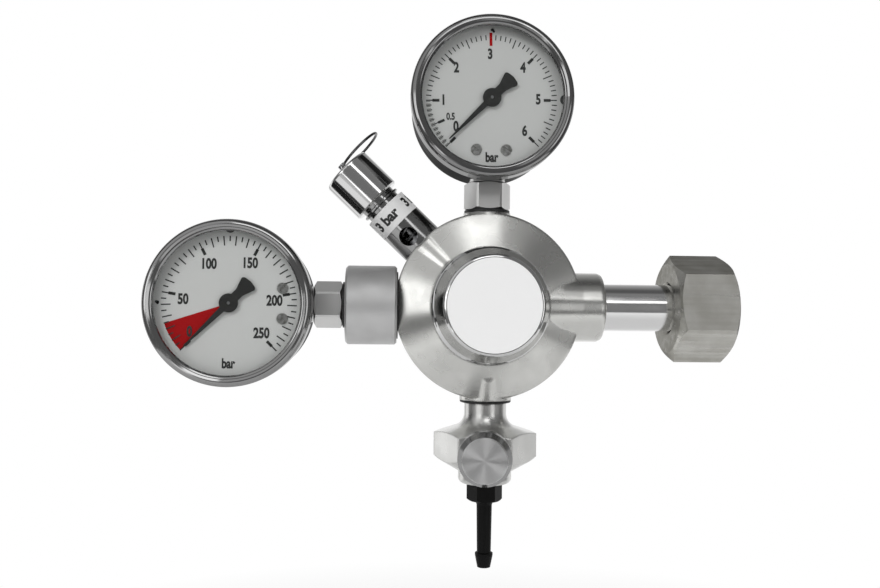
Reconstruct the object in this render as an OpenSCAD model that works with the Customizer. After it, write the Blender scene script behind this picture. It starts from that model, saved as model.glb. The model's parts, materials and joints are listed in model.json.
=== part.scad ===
// Aquarium carbon dioxide regulator: a single-stage diaphragm regulator with two dial
// gauges, a relief valve with a pull ring, a needle valve and a cylinder union nut.
// Millimetres, +Z up. The origin is the centre of the inlet washer's sealing face.
// +X leaves the body along the inlet, and the dials and the knob face -Y.

/* [Body] */
// Diameter of the body
body_d = 62; // [60:1:68]
// Depth of the straight wall behind the port plane
body_back = 16; // [15:0.5:20]
// Distance of the cone's outer edge before the port plane
rim_front = 8.2; // [8.1:0.1:8.6]
// Height of the front cone
cone_h = 4; // [3:0.5:5]
// Diameter of the cone's front edge
cone_top_d = 39.2; // [38.5:0.1:40]
// Chamfer round the rear edge
rear_chamfer = 2.5; // [1:0.5:4]
// Diameter of the raised hub at the rear
hub_d = 32; // [28:1:40]
// Height of the raised hub at the rear
hub_h = 3; // [2:0.5:5]
// Diameter of the low pressure chamber
low_chamber_d = 27; // [24:1:29]
// Depth of the low pressure chamber's floor behind the port plane
low_floor = 1.6; // [1.4:0.1:2]
// Diameter of the high pressure chamber
high_chamber_d = 14; // [12:0.5:16]
// Depth of the high pressure chamber's floor behind the port plane
high_floor = 4; // [3.5:0.5:5]
// Diameter of the gas passages
passage_d = 3; // [2:0.5:3.5]

/* [Ports] */
// Diameter of the gauge port bosses
gauge_boss_d = 16; // [15:0.5:18]
// Height of the gauge port's boss above the body's wall
gauge_boss_h = 0.4; // [0.2:0.1:2]
// Thread diameter of the gauge and relief valve ports
gauge_thread_d = 9.73; // [9:0.01:11]
// Length of the gauge and relief valve threads
gauge_thread_len = 9; // [7:0.5:9.5]
// Diameter of the outlet boss
outlet_boss_d = 17.6; // [17:0.2:20]
// Height of the outlet boss above the body's wall
outlet_boss_h = 0.5; // [0.3:0.1:3]
// Radius of the ridge that runs from the outlet boss up the cone
outlet_ridge_r = 5.4; // [4:0.1:7]
// Radius of the ridge that runs from the relief port up the cone
relief_ridge_r = 7.4; // [6:0.1:7.6]
// Distance of the relief port's ridge before the port plane
relief_ridge_front = 9; // [8.8:0.1:9.4]
// Height of a ridge above the cone at the bonnet's foot
ridge_fade = 0.3; // [0.1:0.1:0.6]
// Growth of the inlet boss's radius from the wall to the bonnet's foot
inlet_flare = 1; // [0.4:0.1:1.4]
// Direction of the relief valve, measured from the inlet
relief_angle = 136.5; // [130:0.5:140]
// Depth of the relief valve's spot face in the body's wall
relief_spot = 1; // [0.5:0.1:1.5]
// Depth of the gauge adapter's spot face in the body's wall
adapter_spot = 1.1; // [0.6:0.1:1.5]

/* [Bonnet] */
// Thread diameter of the bonnet in the body
bonnet_thread_d = 35.5; // [34:0.5:36]
// Distance of the bonnet's front rim before the port plane
bonnet_front = 26; // [24:0.5:30]
// Diameter of the bonnet's front rim
bonnet_rim_d = 32.4; // [32:0.1:34]
// Radius of the bead round the bonnet's foot
bead_r = 1.7; // [1:0.1:2]
// Diameter of the spring chamber
spring_chamber_d = 23; // [20:0.5:24]
// Diameter of the label disc
label_d = 29.9; // [28:0.1:30.5]
// Thickness of the label disc
label_t = 0.8; // [0.5:0.1:1.5]
// Thread diameter of the adjusting screw
adjuster_d = 16; // [12:0.5:18]
// Length of the adjusting screw
adjuster_len = 5; // [4:0.5:6]
// Width across flats of the adjusting screw's socket
adjuster_socket_af = 6; // [4:0.5:8]

/* [Diaphragm and valve] */
// Thickness of the diaphragm
diaphragm_t = 1; // [0.6:0.1:1.4]
// Depth of the diaphragm's seat before the port plane
diaphragm_seat = 2.4; // [2.2:0.1:2.8]
// Diameter of the plate that carries the range spring
plate_d = 20; // [16:0.5:22]
// Diameter of the diaphragm's clamping washer
clamp_d = 12; // [8:0.5:16]
// Thickness of the plate and of the clamping washer
plate_t = 1.2; // [0.8:0.1:1.3]
// Travel of the diaphragm and the poppet
valve_lift = 0.8; // [0.5:0.1:1]
// Mean diameter of the range spring
range_coil_d = 16; // [14:0.5:17]
// Wire diameter of the range spring
range_wire_d = 2.2; // [1.5:0.1:2.4]
// Number of turns in the range spring
range_turns = 4.5; // [3:0.5:4.5]
// Diameter of the hole in the valve seat
orifice_d = 3; // [2.6:0.1:4]
// Thickness of the valve seat
seat_t = 2.4; // [2:0.1:3]
// Diameter of the poppet
poppet_d = 8.6; // [8:0.1:9]
// Length of the poppet's barrel
poppet_len = 7; // [6:0.5:8]
// Wall of the poppet's barrel round its spring
poppet_wall = 1; // [0.8:0.1:1.2]
// Depth of the spring's recess in the poppet and in the plug
spring_recess = 3; // [2:0.5:4]
// Length of the plug's guide over the poppet
guide_len = 3; // [2:0.5:4]
// Diameter of the pin that opens the poppet
pin_d = 1.8; // [1.4:0.1:2]
// Wire diameter of the poppet spring
poppet_wire_d = 0.8; // [0.6:0.1:0.9]
// Width across flats of the rear plug
plug_af = 24; // [22:1:27]
// Thickness of the rear plug's head
plug_head = 6; // [4:0.5:8]
// Width of the rear plug seal's ring
seal_land = 3; // [2:0.5:4]
// Thickness of the flat seals
seal_t = 1; // [0.6:0.1:1.4]

/* [Inlet] */
// Diameter of the collar round the inlet
collar_d = 23.5; // [22:0.5:26]
// Height of the collar's face above the body's wall
collar_h = 8; // [5:0.5:10]
// Chamfer of the collar
collar_chamfer = 1.6; // [0.5:0.1:2]
// Diameter of the inlet stem
stem_d = 16; // [15:0.1:17]
// Length of the stem between the collar and its flange
stem_len = 27.5; // [24:1:36]
// Diameter of the stem's thread in the body
stem_thread_d = 14; // [12:0.5:15]
// Length of the stem's thread in the body
stem_thread_len = 13; // [10:0.5:14]
// Diameter of the stem's flange
flange_d = 18.8; // [18:0.1:19]
// Thickness of the stem's flange
flange_t = 4; // [3:0.5:5]
// Diameter of the bore through the stem
stem_bore_d = 5; // [4:0.5:6]
// Diameter of the sintered filter
filter_d = 10; // [8:0.5:12]
// Length of the sintered filter
filter_len = 5; // [3:0.5:6]
// Thickness of the inlet washer
washer_t = 2; // [1:0.1:2.5]

/* [Union nut] */
// Width across flats of the union nut
nut_af = 32; // [30:1:34]
// Length of the union nut
nut_len = 20; // [19:0.5:24]
// Thickness of the nut's wall behind the flange
nut_wall = 4; // [3:0.5:5]
// Thread diameter of the cylinder valve
cylinder_thread_d = 21.8; // [21.7:0.05:21.9]
// Diameter inside the nut's thread
nut_bore_d = 19.7; // [19.6:0.05:19.9]
// Turn of the nut at rest
nut_turn = 7; // [0:1:30]

/* [Gauges] */
// Length of the gauge sockets between the case and the seal
socket_len = 10; // [8:0.5:20]
// Diameter of the gauge case
case_d = 51.6; // [50.5:0.1:53]
// Wall of the gauge case
case_wall = 1; // [0.8:0.1:1.4]
// Distance of the case's back behind the port plane
case_back = 11; // [10:0.5:16]
// Distance of the case's rim before the port plane
case_front = 13.6; // [13.5:0.1:16]
// Wall of the bezel outside the case
bezel_wall = 0.9; // [0.8:0.1:2]
// Width of the bezel's front lip
bezel_rim = 3.7; // [3:0.1:5]
// Length of the bezel's skirt over the case
bezel_skirt = 5.2; // [4:0.1:8]
// Thickness of the bezel's front lip
bezel_lip = 1.4; // [1:0.1:2]
// Thickness of the gauge window
window_t = 2; // [1.5:0.1:2.5]
// Thickness of the dial
dial_t = 0.6; // [0.4:0.1:0.7]
// Gap between the dial and the window
dial_gap = 1.8; // [1.7:0.1:2.2]
// Length of the pointer's needle
pointer_len = 19.5; // [15:0.5:21]
// Length of the pointer's tail
tail_len = 9.6; // [6:0.1:11]
// Width of the pointer's tail at its end
tail_w = 5.9; // [4.5:0.1:6.2]
// Width of the pointer's tail at the hub
tail_neck_w = 3; // [2:0.1:3.6]
// Diameter of the pointer's hub
hub_pointer_d = 6.1; // [4:0.1:7]
// Angle of the pointer's zero, from the dial's right-hand side
zero_angle = 225; // [220:1:230]
// Width across flats of the gauge socket
socket_af = 14; // [13:0.5:15]
// Diameter of the socket's round neck
neck_d = 12; // [10:0.5:13]
// Diameter of the bore through the gauge sockets
gauge_bore_d = 2; // [1:0.5:3]

/* [Gauge movement] */
// Module of the gear teeth
gear_module = 0.3; // [0.28:0.01:0.32]
// Number of teeth on the pinion
pinion_teeth = 10; // [9:1:11]
// Number of teeth that a full sector wheel would have
sector_full_teeth = 80; // [76:1:82]
// Pointer travel over the dial
pointer_travel = 270; // [240:10:280]
// Thickness of the sector gear
sector_t = 1; // [0.6:0.1:1.2]
// Diameter of the arbors
arbor_d = 1.2; // [0.8:0.1:1.4]
// Distance from the sector's pivot to the link's pin
sector_tail = 4; // [3.5:0.1:4.5]
// Width of the movement plates
frame_w = 15; // [14:0.5:17]
// Thickness of the movement plates
frame_t = 1; // [0.8:0.1:1.2]
// Distance between the movement plates
frame_gap = 4.2; // [4:0.1:4.6]
// Centreline radius of the Bourdon tube
bourdon_r = 18; // [17.5:0.1:18.5]
// Thickness of the flattened tube
bourdon_t = 2.8; // [2:0.1:3.4]
// Depth of the flattened tube
bourdon_w = 8; // [6:0.5:9]
// Wall of the flattened tube
bourdon_wall = 0.4; // [0.2:0.05:0.6]
// Number of turns in the hairspring
hair_turns = 4; // [3:1:5]
// Diameter of the dial screws' heads
dial_screw_d = 3.6; // [3:0.1:4]
// Half the distance between the dial screws
dial_screw_x = 4.9; // [4.5:0.1:5.5]
// Distance of the dial screws from the dial's centre
dial_screw_drop = 17; // [16:0.1:17.5]

/* [Gauge adapter] */
// Diameter of the adapter
adapter_d = 26.5; // [24:0.5:30]
// Length of the adapter
adapter_len = 17; // [14:0.5:20]
// Thread diameter of the adapter in the body
adapter_thread_d = 12; // [11:0.5:13]

/* [Relief valve] */
// Diameter of the relief valve's body
relief_d = 15.7; // [15:0.1:17]
// Length of the lower body, up to the marking band
relief_lower = 10.1; // [9.5:0.1:12]
// Width of the marking band
band_w = 7.4; // [6:0.1:9]
// Thickness of the marking band
band_t = 0.3; // [0.2:0.05:0.5]
// Length of the grooved neck
relief_neck = 3.7; // [3:0.1:5]
// Diameter of the cap
cap_d = 17.6; // [17:0.1:19]
// Length of the cap
cap_len = 15; // [13:0.1:16]
// Diameter of the vent hole
vent_d = 6.3; // [4:0.1:6.5]
// Turn of the vent hole from the front towards the lower left
vent_turn = 15; // [0:1:30]
// Diameter of the relief stem
relief_stem_d = 2.6; // [2.4:0.1:3]
// Length of the stem that stands out of the cap
relief_stem_out = 2.4; // [2.3:0.1:4]
// Lift of the relief valve
relief_lift = 1.6; // [1:0.1:2]
// Mean radius of the pull ring
ring_r = 8; // [7.5:0.1:9]
// Wire diameter of the pull ring
ring_wire_d = 0.9; // [0.8:0.1:1.1]
// Mean diameter of the relief spring
relief_coil_d = 7; // [6:0.1:7.5]
// Wire diameter of the relief spring
relief_wire_d = 1; // [0.8:0.1:1.2]

/* [Needle valve] */
// Width across flats of the needle valve's body
valve_af = 30; // [28:0.5:32]
// Turn of the whole valve from facing the front
valve_turn = 6; // [-10:1:10]
// Diameter of the valve's upper neck
valve_neck_d = 14.2; // [13:0.1:15]
// Length of the valve's neck above the hexagon
valve_neck_len = 9.1; // [7:0.1:12]
// Radius of the flare between the neck and the hexagon's shoulder
flare_r = 4.6; // [3:0.1:5]
// Height of the hexagon's corner edges
valve_corner_h = 7.6; // [7:0.1:12]
// Slope of the turned shoulder above the hexagon
valve_top_slope = 21; // [15:1:30]
// Slope of the turned shoulder below the hexagon
valve_low_slope = 31; // [20:1:35]
// Diameter of the round lower end
valve_foot_d = 18; // [17:0.5:20]
// Length of the round lower end
valve_foot = 4.1; // [3:0.1:8]
// Distance from the neck's end down to the needle's axis
needle_inset = 7.4; // [7:0.1:7.6]
// Diameter of the gland's thread
gland_d = 8; // [7.6:0.1:8.2]
// Distance of the gland's front before the needle valve's middle
gland_front = 18.4; // [17.8:0.1:20]
// Diameter of the needle spindle
spindle_d = 4; // [3:0.5:4]
// Diameter of the needle's seat
needle_seat_d = 1.6; // [1.2:0.1:2]
// Pitch of the spindle's thread
spindle_pitch = 0.5; // [0.4:0.1:0.7]
// Turns of the knob from closed to open
knob_turns = 2; // [1:0.5:3]
// Diameter of the knob
knob_d = 17.2; // [16:0.1:20]
// Length of the knob
knob_len = 8.6; // [7:0.1:12]
// Diameter of the knob's front face
knob_face_d = 14.2; // [10:0.1:14.6]

/* [Hose barb] */
// Diameter of the barb's collar
barb_collar_d = 11.2; // [10:0.1:13]
// Length of the barb's collar
barb_collar = 6; // [4:0.5:8]
// Diameter of the hose stem
barb_stem_d = 5.2; // [4.4:0.1:5.2]
// Length of the hose stem
barb_stem = 17.3; // [12:0.1:24]
// Largest diameter of the barb
barb_d = 6; // [5.6:0.1:7]
// Length of the barb's taper
barb_taper = 5; // [3:0.5:7]
// Bore through the barb
barb_bore_d = 2.6; // [2:0.1:3]

/* [Hidden] */

// Faces of a round surface
fine = 96;
small = 48;
// Radial clearances: a screwed joint, a running fit and a loose passage
screw_gap = 0.03;
run_gap = 0.04;
loose_gap = 0.25;
// Side gap between faces of pieces that move past each other
side_gap = 0.2;

// Distances of the port faces from the body's axis
collar_face = body_d / 2 + collar_h;
gauge_boss_face = body_d / 2 + gauge_boss_h;
outlet_boss_face = body_d / 2 + outlet_boss_h;
relief_face = body_d / 2 - relief_spot;
adapter_face = body_d / 2 - adapter_spot;
cone_front = rim_front + cone_h;
inlet_face = collar_face + stem_len + flange_t + washer_t;

// Points of a round corner from angle a to angle b about a centre
function arc(x, y, r, a, b, n = 8) =
  [for (i = [0:n]) [x + r * cos(a + (b - a) * i / n), y + r * sin(a + (b - a) * i / n)]];

// Frames
module body_frame() { translate([-inlet_face, 0, 0]) children(); }

// Local +Z leads away from the body's axis at the given angle from the inlet
module port(angle) { body_frame() rotate([0, 90 - angle, 0]) children(); }

// A profile of [radius, depth] turned about the front-to-back axis
module turned_y(points, faces = fine) {
  rotate([-90, 0, 0]) rotate_extrude($fn = faces) polygon(points);
}

// A profile of [radius, height] turned about the local Z axis
module turned(points, faces = fine) { rotate_extrude($fn = faces) polygon(points); }

module bore(d, from, to, faces = small) {
  translate([0, 0, from]) cylinder(d = d, h = to - from, $fn = faces);
}

module bore_y(d, from, to, faces = small) {
  rotate([-90, 0, 0]) bore(d, from, to, faces);
}

// A hexagonal bar, with flats facing the front and ends chamfered from the diameter end_d
module hex_bar(af, from, to, end_d, slope = 30) {
  corner = af / cos(30) / 2;
  drop = (corner - end_d / 2) * tan(slope);
  intersection() {
    translate([0, 0, from]) cylinder(r = corner, h = to - from, $fn = 6);
    turned([[0, from], [end_d / 2, from], [corner + 0.1, from + drop + 0.1 * tan(slope)],
            [corner + 0.1, to - drop - 0.1 * tan(slope)], [end_d / 2, to], [0, to]]);
  }
}

// A coil spring with closed ends, standing on z = 0
module coil(mean_d, wire_d, turns, height, steps = 16, sides = 6) {
  total = turns + 2;
  count = round(total * steps);
  rise = height - 3 * wire_d;
  function climb(t) = t < 1 ? wire_d * (0.5 + t)
    : t > total - 1 ? height - wire_d * (0.5 + total - t)
    : wire_d * 1.5 + rise * (t - 1) / turns;
  points = [for (i = [0:count]) let (t = i * total / count, a = 360 * t)
    for (k = [0:sides - 1]) let (b = 360 * k / sides, r = mean_d / 2 + wire_d / 2 * 0.98 * cos(b))
    [r * cos(a), r * sin(a), climb(t) + wire_d / 2 * 0.96 * sin(b)]];
  walls = [for (i = [0:count - 1], k = [0:sides - 1]) let (n = (k + 1) % sides)
    [i * sides + k, i * sides + n, (i + 1) * sides + n, (i + 1) * sides + k]];
  start = [[for (k = [sides - 1:-1:0]) k]];
  finish = [[for (k = [0:sides - 1]) count * sides + k]];
  polyhedron(points, concat(start, walls, finish));
}

// Regulator body
module regulator_body() color("gainsboro") {
  cone_r = cone_top_d / 2;
  edge = 0.5;
  back = body_back + rear_chamfer;
  difference() {
    union() {
      body_frame() turned_y([[0, -cone_front], [cone_r, -cone_front], [body_d / 2 - edge, -rim_front],
        [body_d / 2, edge - rim_front], [body_d / 2, body_back], [body_d / 2 - rear_chamfer, back],
        [hub_d / 2 + 1, back], [hub_d / 2, back + 1], [hub_d / 2, back + hub_h], [0, back + hub_h]], 180);
      port(0) inlet_boss();
      port(90) port_boss(gauge_boss_d, gauge_boss_face);
      port(180) port_boss(gauge_boss_d, adapter_face);
      port(270) port_boss(outlet_boss_d, outlet_boss_face);
      port(relief_angle) port_boss(relief_d, relief_face);
      port(270) ridge(outlet_boss_face, outlet_boss_d / 2, outlet_ridge_r);
      port(relief_angle) ridge(relief_face, relief_ridge_front, relief_ridge_r);
    }
    body_frame() body_bores();
    port(0) bore(stem_thread_d + 2 * screw_gap, collar_face - stem_thread_len - 1, collar_face + 1);
    port(90) low_port(gauge_boss_face);
    port(relief_angle) low_port(relief_face);
    port(relief_angle) bore(relief_d + 2 * loose_gap, relief_face, body_d);
    port(270) low_port(outlet_boss_face);
    port(180) bore(adapter_thread_d + 2 * screw_gap, adapter_face - gauge_thread_len - 1, adapter_face + 1);
    port(180) bore(adapter_d + 2 * loose_gap, adapter_face, body_d, fine);
    for (side = [0, 180]) port(side) high_passage();
  }
}

// A boss starts inside the cone and stops at the bonnet's edge
module port_boss(d, face) { bore(d, cone_top_d / 2, face, fine); }

// A tapered ridge that rises with the cone, from a port's face to the bonnet's foot
module ridge(face, front, r) {
  run = face - cone_top_d / 2;
  taper = 0.3 * r / run;
  lean = atan((cone_front + ridge_fade - front) / run) + atan(taper);
  intersection() {
    translate([0, -front, face]) rotate([180 - lean, 0, 0]) translate([0, -r, -r])
      cylinder(r1 = r * (1 + taper), r2 = r - run * taper, h = run + r, $fn = fine);
    bore(4 * r, cone_top_d / 2, face);
  }
}

module inlet_boss() {
  turned([[0, cone_top_d / 2], [collar_d / 2 + inlet_flare, cone_top_d / 2], [collar_d / 2, body_d / 2],
          [collar_d / 2, collar_face - collar_chamfer],
          [collar_d / 2 - collar_chamfer * 0.3, collar_face - collar_chamfer * 0.3],
          [collar_d / 2 - collar_chamfer, collar_face], [0, collar_face]]);
}

module body_bores() {
  bore_y(bonnet_thread_d + 2 * screw_gap, -collar_d, -diaphragm_seat, fine);
  bore_y(low_chamber_d, -collar_d, low_floor, fine);
  bore_y(orifice_d + 1, 0, body_back);
  bore_y(high_chamber_d, high_floor, body_back + rear_chamfer + hub_h + 1, fine);
}

// Straight drilling from a port into the low pressure chamber
module low_port(face) {
  bore(gauge_thread_d + 2 * screw_gap, face - gauge_thread_len - 1, face + 1);
  bore(passage_d, low_chamber_d / 2 - 2, face);
}

// Slanted drilling from a port in the port plane back into the high pressure chamber
module high_passage() {
  mouth = adapter_face - gauge_thread_len - 1;
  depth = (high_floor + body_back) / 2;
  slant = atan2(depth, mouth - high_chamber_d / 2 + 2);
  translate([0, 0, mouth + 1.5]) rotate([180 + slant, 0, 0]) bore(passage_d, 0, mouth + 1);
}

// Bonnet and range spring
module spring_bonnet() color("silver") body_frame() difference() {
  foot_r = cone_top_d / 2;
  rim_r = bonnet_rim_d / 2;
  seat_r = bonnet_thread_d / 2;
  turned_y(concat(
    [[0, -diaphragm_seat - diaphragm_t], [seat_r, -diaphragm_seat - diaphragm_t],
     [seat_r, -cone_front]],
    arc(foot_r - bead_r - 0.2, -cone_front - bead_r, bead_r, 90, -60),
    arc(foot_r - 0.4, -cone_front - 2.6 * bead_r, bead_r * 0.7, 110, 250),
    [[foot_r - 1.2, -cone_front - 3.6 * bead_r]],
    arc(rim_r - 1.2, -bonnet_front + 1.2, 1.2, 0, -90),
    [[0, -bonnet_front]]), 120);
  bore_y(spring_chamber_d, -adjuster_front() + adjuster_len - 1, 0, fine);
  bore_y(adjuster_d + 2 * screw_gap, -bonnet_front - 1, 0, fine);
  bore_y(label_d + 2 * screw_gap, -bonnet_front - 1, -bonnet_front + label_t, fine);
}

// Distance of the adjusting screw's front before the port plane
function adjuster_front() = bonnet_front - label_t - 0.5;

module label_disc() color("white") body_frame()
  bore_y(label_d, -bonnet_front, -bonnet_front + label_t, fine);

module adjusting_screw() color("goldenrod") body_frame() difference() {
  bore_y(adjuster_d, -adjuster_front(), -adjuster_front() + adjuster_len, fine);
  rotate([-90, 0, 0]) translate([0, 0, -adjuster_front() - 1])
    cylinder(d = adjuster_socket_af / cos(30), h = adjuster_len - 1, $fn = 6);
}

button_t = 2;
spring_front = bonnet_front - label_t - 0.5 - adjuster_len - button_t;
spring_back = diaphragm_seat + diaphragm_t + plate_t;

module spring_button() color("goldenrod") body_frame()
  turned_y([[0, -spring_front - button_t], [range_coil_d / 2, -spring_front - button_t],
    [range_coil_d / 2 + range_wire_d / 2, -spring_front - button_t / 2],
    [range_coil_d / 2 + range_wire_d / 2, -spring_front],
    [range_coil_d / 2 - range_wire_d, -spring_front],
    [range_coil_d / 2 - range_wire_d, -spring_front + 1], [0, -spring_front + 1]]);

module range_spring() color("dimgray") body_frame() rotate([-90, 0, 0])
  translate([0, 0, -spring_front])
    coil(range_coil_d, range_wire_d, range_turns, spring_front - spring_back);

// Diaphragm and its plate
hub_neck_d = 5;

module diaphragm() color("black") body_frame() difference() {
  bore_y(bonnet_thread_d, -diaphragm_seat - diaphragm_t, -diaphragm_seat, fine);
  bore_y(hub_neck_d + 2 * screw_gap, -diaphragm_seat - diaphragm_t - 1, 0);
}

module diaphragm_plate() color("goldenrod") body_frame() union() {
  bore_y(plate_d, -spring_back, -diaphragm_seat - diaphragm_t, fine);
  bore_y(hub_neck_d, -spring_back, -diaphragm_seat);
  bore_y(clamp_d, -diaphragm_seat, -diaphragm_seat + plate_t, fine);
  bore_y(range_coil_d - 2 * range_wire_d, -spring_back - 1, -spring_back, fine);
}

// Seat, poppet and rear plug
seat_face = high_floor + seat_t;
poppet_back = seat_face + poppet_len;
plug_back = body_back + rear_chamfer + hub_h + seal_t;

module valve_seat() color("goldenrod") body_frame() difference() {
  turned_y([[0, high_floor], [high_chamber_d / 2 - screw_gap, high_floor],
    [high_chamber_d / 2 - screw_gap, seat_face - 0.7], [orifice_d / 2 + 1.6, seat_face - 0.7],
    [orifice_d / 2 + 0.6, seat_face], [0, seat_face]]);
  bore_y(orifice_d, high_floor - 1, seat_face + 1);
}

module poppet() color("goldenrod") body_frame() difference() {
  union() {
    bore_y(pin_d, plate_t - diaphragm_seat, seat_face + 1);
    turned_y([[0, seat_face], [poppet_d / 2 - 1, seat_face], [poppet_d / 2, seat_face + 1],
              [poppet_d / 2, poppet_back], [0, poppet_back]]);
  }
  bore_y(poppet_d - 2 * poppet_wall, seat_face + spring_recess, poppet_back + 1);
}

poppet_spring_front = seat_face + spring_recess;
poppet_spring_back = poppet_back + spring_recess;

module poppet_spring() color("dimgray") body_frame() rotate([-90, 0, 0])
  translate([0, 0, poppet_spring_front])
    coil(poppet_d - 2 * poppet_wall - poppet_wire_d - 2 * side_gap, poppet_wire_d, 4,
         poppet_spring_back - poppet_spring_front);

module rear_plug() color("silver") body_frame() difference() {
  union() {
    bore_y(high_chamber_d - 2 * screw_gap, poppet_back - guide_len, plug_back, fine);
    rotate([-90, 0, 0]) hex_bar(plug_af, plug_back, plug_back + plug_head, plug_af * 0.96);
  }
  bore_y(poppet_d + 2 * run_gap, poppet_back - guide_len - 1, poppet_back + valve_lift + 2 * side_gap);
  bore_y(poppet_d - 2 * poppet_wall, poppet_back - guide_len - 1, poppet_spring_back);
}

module rear_plug_seal() color("black") body_frame() difference() {
  bore_y(high_chamber_d + 2 * seal_land, plug_back - seal_t, plug_back, fine);
  bore_y(high_chamber_d, plug_back - seal_t - 1, plug_back + 1);
}

// Inlet
module inlet_stem() color("silver") port(0) difference() {
  flange_back = collar_face + stem_len;
  turned([[0, collar_face - stem_thread_len], [stem_thread_d / 2 - 1, collar_face - stem_thread_len],
    [stem_thread_d / 2, collar_face - stem_thread_len + 1], [stem_thread_d / 2, collar_face],
    [stem_d / 2, collar_face], [stem_d / 2, flange_back], [flange_d / 2, flange_back],
    [flange_d / 2, flange_back + flange_t], [0, flange_back + flange_t]]);
  bore(stem_bore_d, collar_face - stem_thread_len - 1, inlet_face);
  bore(filter_d + 2 * screw_gap, flange_back + flange_t - filter_len, inlet_face);
}

module inlet_filter() color("darkgoldenrod") port(0)
  bore(filter_d, collar_face + stem_len + flange_t - filter_len, collar_face + stem_len + flange_t);

module inlet_washer() color("dimgray") port(0) difference() {
  bore(flange_d - 0.4, inlet_face - washer_t, inlet_face, fine);
  bore(filter_d - 3, inlet_face - washer_t - 1, inlet_face + 1);
}

// Union nut: the thread starts just in front of the washer
module union_nut() color("silver") port(0) difference() {
  inner = collar_face + stem_len - side_gap;
  back = inner - nut_wall;
  rotate([0, 0, -nut_turn]) hex_bar(nut_af, back, back + nut_len, nut_af * 0.95);
  bore(stem_d + 2 * loose_gap, back - 1, inner + 1);
  bore(cylinder_thread_d + 0.6, inner, inlet_face + side_gap, fine);
  bore(nut_bore_d, inner, back + nut_len + 1, fine);
  turned([[0, back + nut_len - 1.1], [nut_bore_d / 2, back + nut_len - 1.1],
    [cylinder_thread_d / 2 + 0.2, back + nut_len + 0.15], [0, back + nut_len + 0.15]]);
  turned([[0, back - 0.01], [stem_d / 2 + loose_gap + 0.8, back - 0.01], [0, back + 8.8]]);
}

// Gauge adapter
adapter_near = adapter_face + seal_t * 0.4;
adapter_far = adapter_near + adapter_len;

module gauge_adapter() color("darkgray") port(180) difference() {
  edge = 0.7;
  turned([[0, adapter_near - gauge_thread_len], [adapter_thread_d / 2, adapter_near - gauge_thread_len],
    [adapter_thread_d / 2, adapter_near], [adapter_d / 2 - edge, adapter_near],
    [adapter_d / 2, adapter_near + edge], [adapter_d / 2, adapter_far - edge],
    [adapter_d / 2 - edge, adapter_far], [0, adapter_far]]);
  bore(passage_d, adapter_near - gauge_thread_len - 1, adapter_far);
  bore(gauge_thread_d + 2 * screw_gap, adapter_far - gauge_thread_len - 1, adapter_far + 1);
}

module adapter_seal() color("black") port(180) difference() {
  bore(adapter_d - 4, adapter_face, adapter_near);
  bore(adapter_thread_d + 0.2, adapter_face - 1, adapter_near + 1);
}

// Gauges. In a gauge's own frame the dial faces -Y about the origin, and the socket
// leaves along -Z. The turn swings that direction towards the body.
module outlet_gauge() { body_frame() translate([0, 0, outlet_gauge_reach]) children(); }

module cylinder_gauge() {
  body_frame() translate([-cylinder_gauge_reach, 0, 0]) rotate([0, -90, 0]) children();
}

case_r = case_d / 2;
socket_end = case_r + socket_len;
outlet_gauge_reach = gauge_boss_face + seal_t + socket_end;
cylinder_gauge_reach = adapter_far + seal_t + socket_end;
bezel_r = case_r + bezel_wall;
opening_r = bezel_r - bezel_rim;

window_back = case_front;
window_front = case_front + window_t;
dial_front = window_back - dial_gap;

module gauge_case() color("silver") difference() {
  edge = 2.4;
  turned_y(concat([[0, -case_front], [case_r, -case_front]],
    arc(case_r - edge, case_back - edge, edge, 0, 90), [[0, case_back]]), 120);
  inner = case_r - case_wall;
  turned_y(concat([[0, -case_front - 1], [inner, -case_front - 1]],
    arc(inner - edge, case_back - case_wall - edge, edge, 0, 90), [[0, case_back - case_wall]]), 120);
  rotate([180, 0, 0]) bore(neck_d + 2 * loose_gap, case_r - 6, case_r + 2);
}

module gauge_bezel() color("silver") {
  fit = case_r + screw_gap;
  front = window_front + bezel_lip;
  skirt = bezel_skirt - case_front;
  crimp = 2 * (bezel_wall - screw_gap) / 3;
  outer_round = bezel_rim * 0.51;
  inner_round = bezel_rim * 0.32;
  turned_y(concat([[fit, skirt], [fit + crimp / 2, skirt]],
    arc(bezel_r - crimp, skirt - 0.8, crimp, 60, 0, 4), [[bezel_r, outer_round - front]],
    arc(bezel_r - outer_round, outer_round - front, outer_round, 0, -90),
    arc(opening_r + inner_round, inner_round * 1.25 - front, inner_round, -90, -180),
    [[opening_r, -window_front - screw_gap], [fit, -window_front - screw_gap]]), 120);
}

module gauge_window() color([0.8, 0.9, 0.95, 0.3])
  bore_y(2 * case_r - 0.2, -window_front, -window_back, fine);

screw_z = -dial_screw_drop;
notch_d = 1.2;

module gauge_dial() color("lightgray") difference() {
  bore_y(case_d - 2 * case_wall - 0.4, -dial_front, -dial_front + dial_t, fine);
  bore_y(arbor_d + 2 * loose_gap, -dial_front - 1, -dial_front + 2, small);
  translate([0, 0, opening_r - 0.3]) bore_y(notch_d, -dial_front - 1, -dial_front + 2);
  for (x = [-dial_screw_x, dial_screw_x]) translate([x, 0, screw_z])
    bore_y(dial_screw_d * 0.55 + 2 * loose_gap, -dial_front - 1, -dial_front + 2);
}

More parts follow.
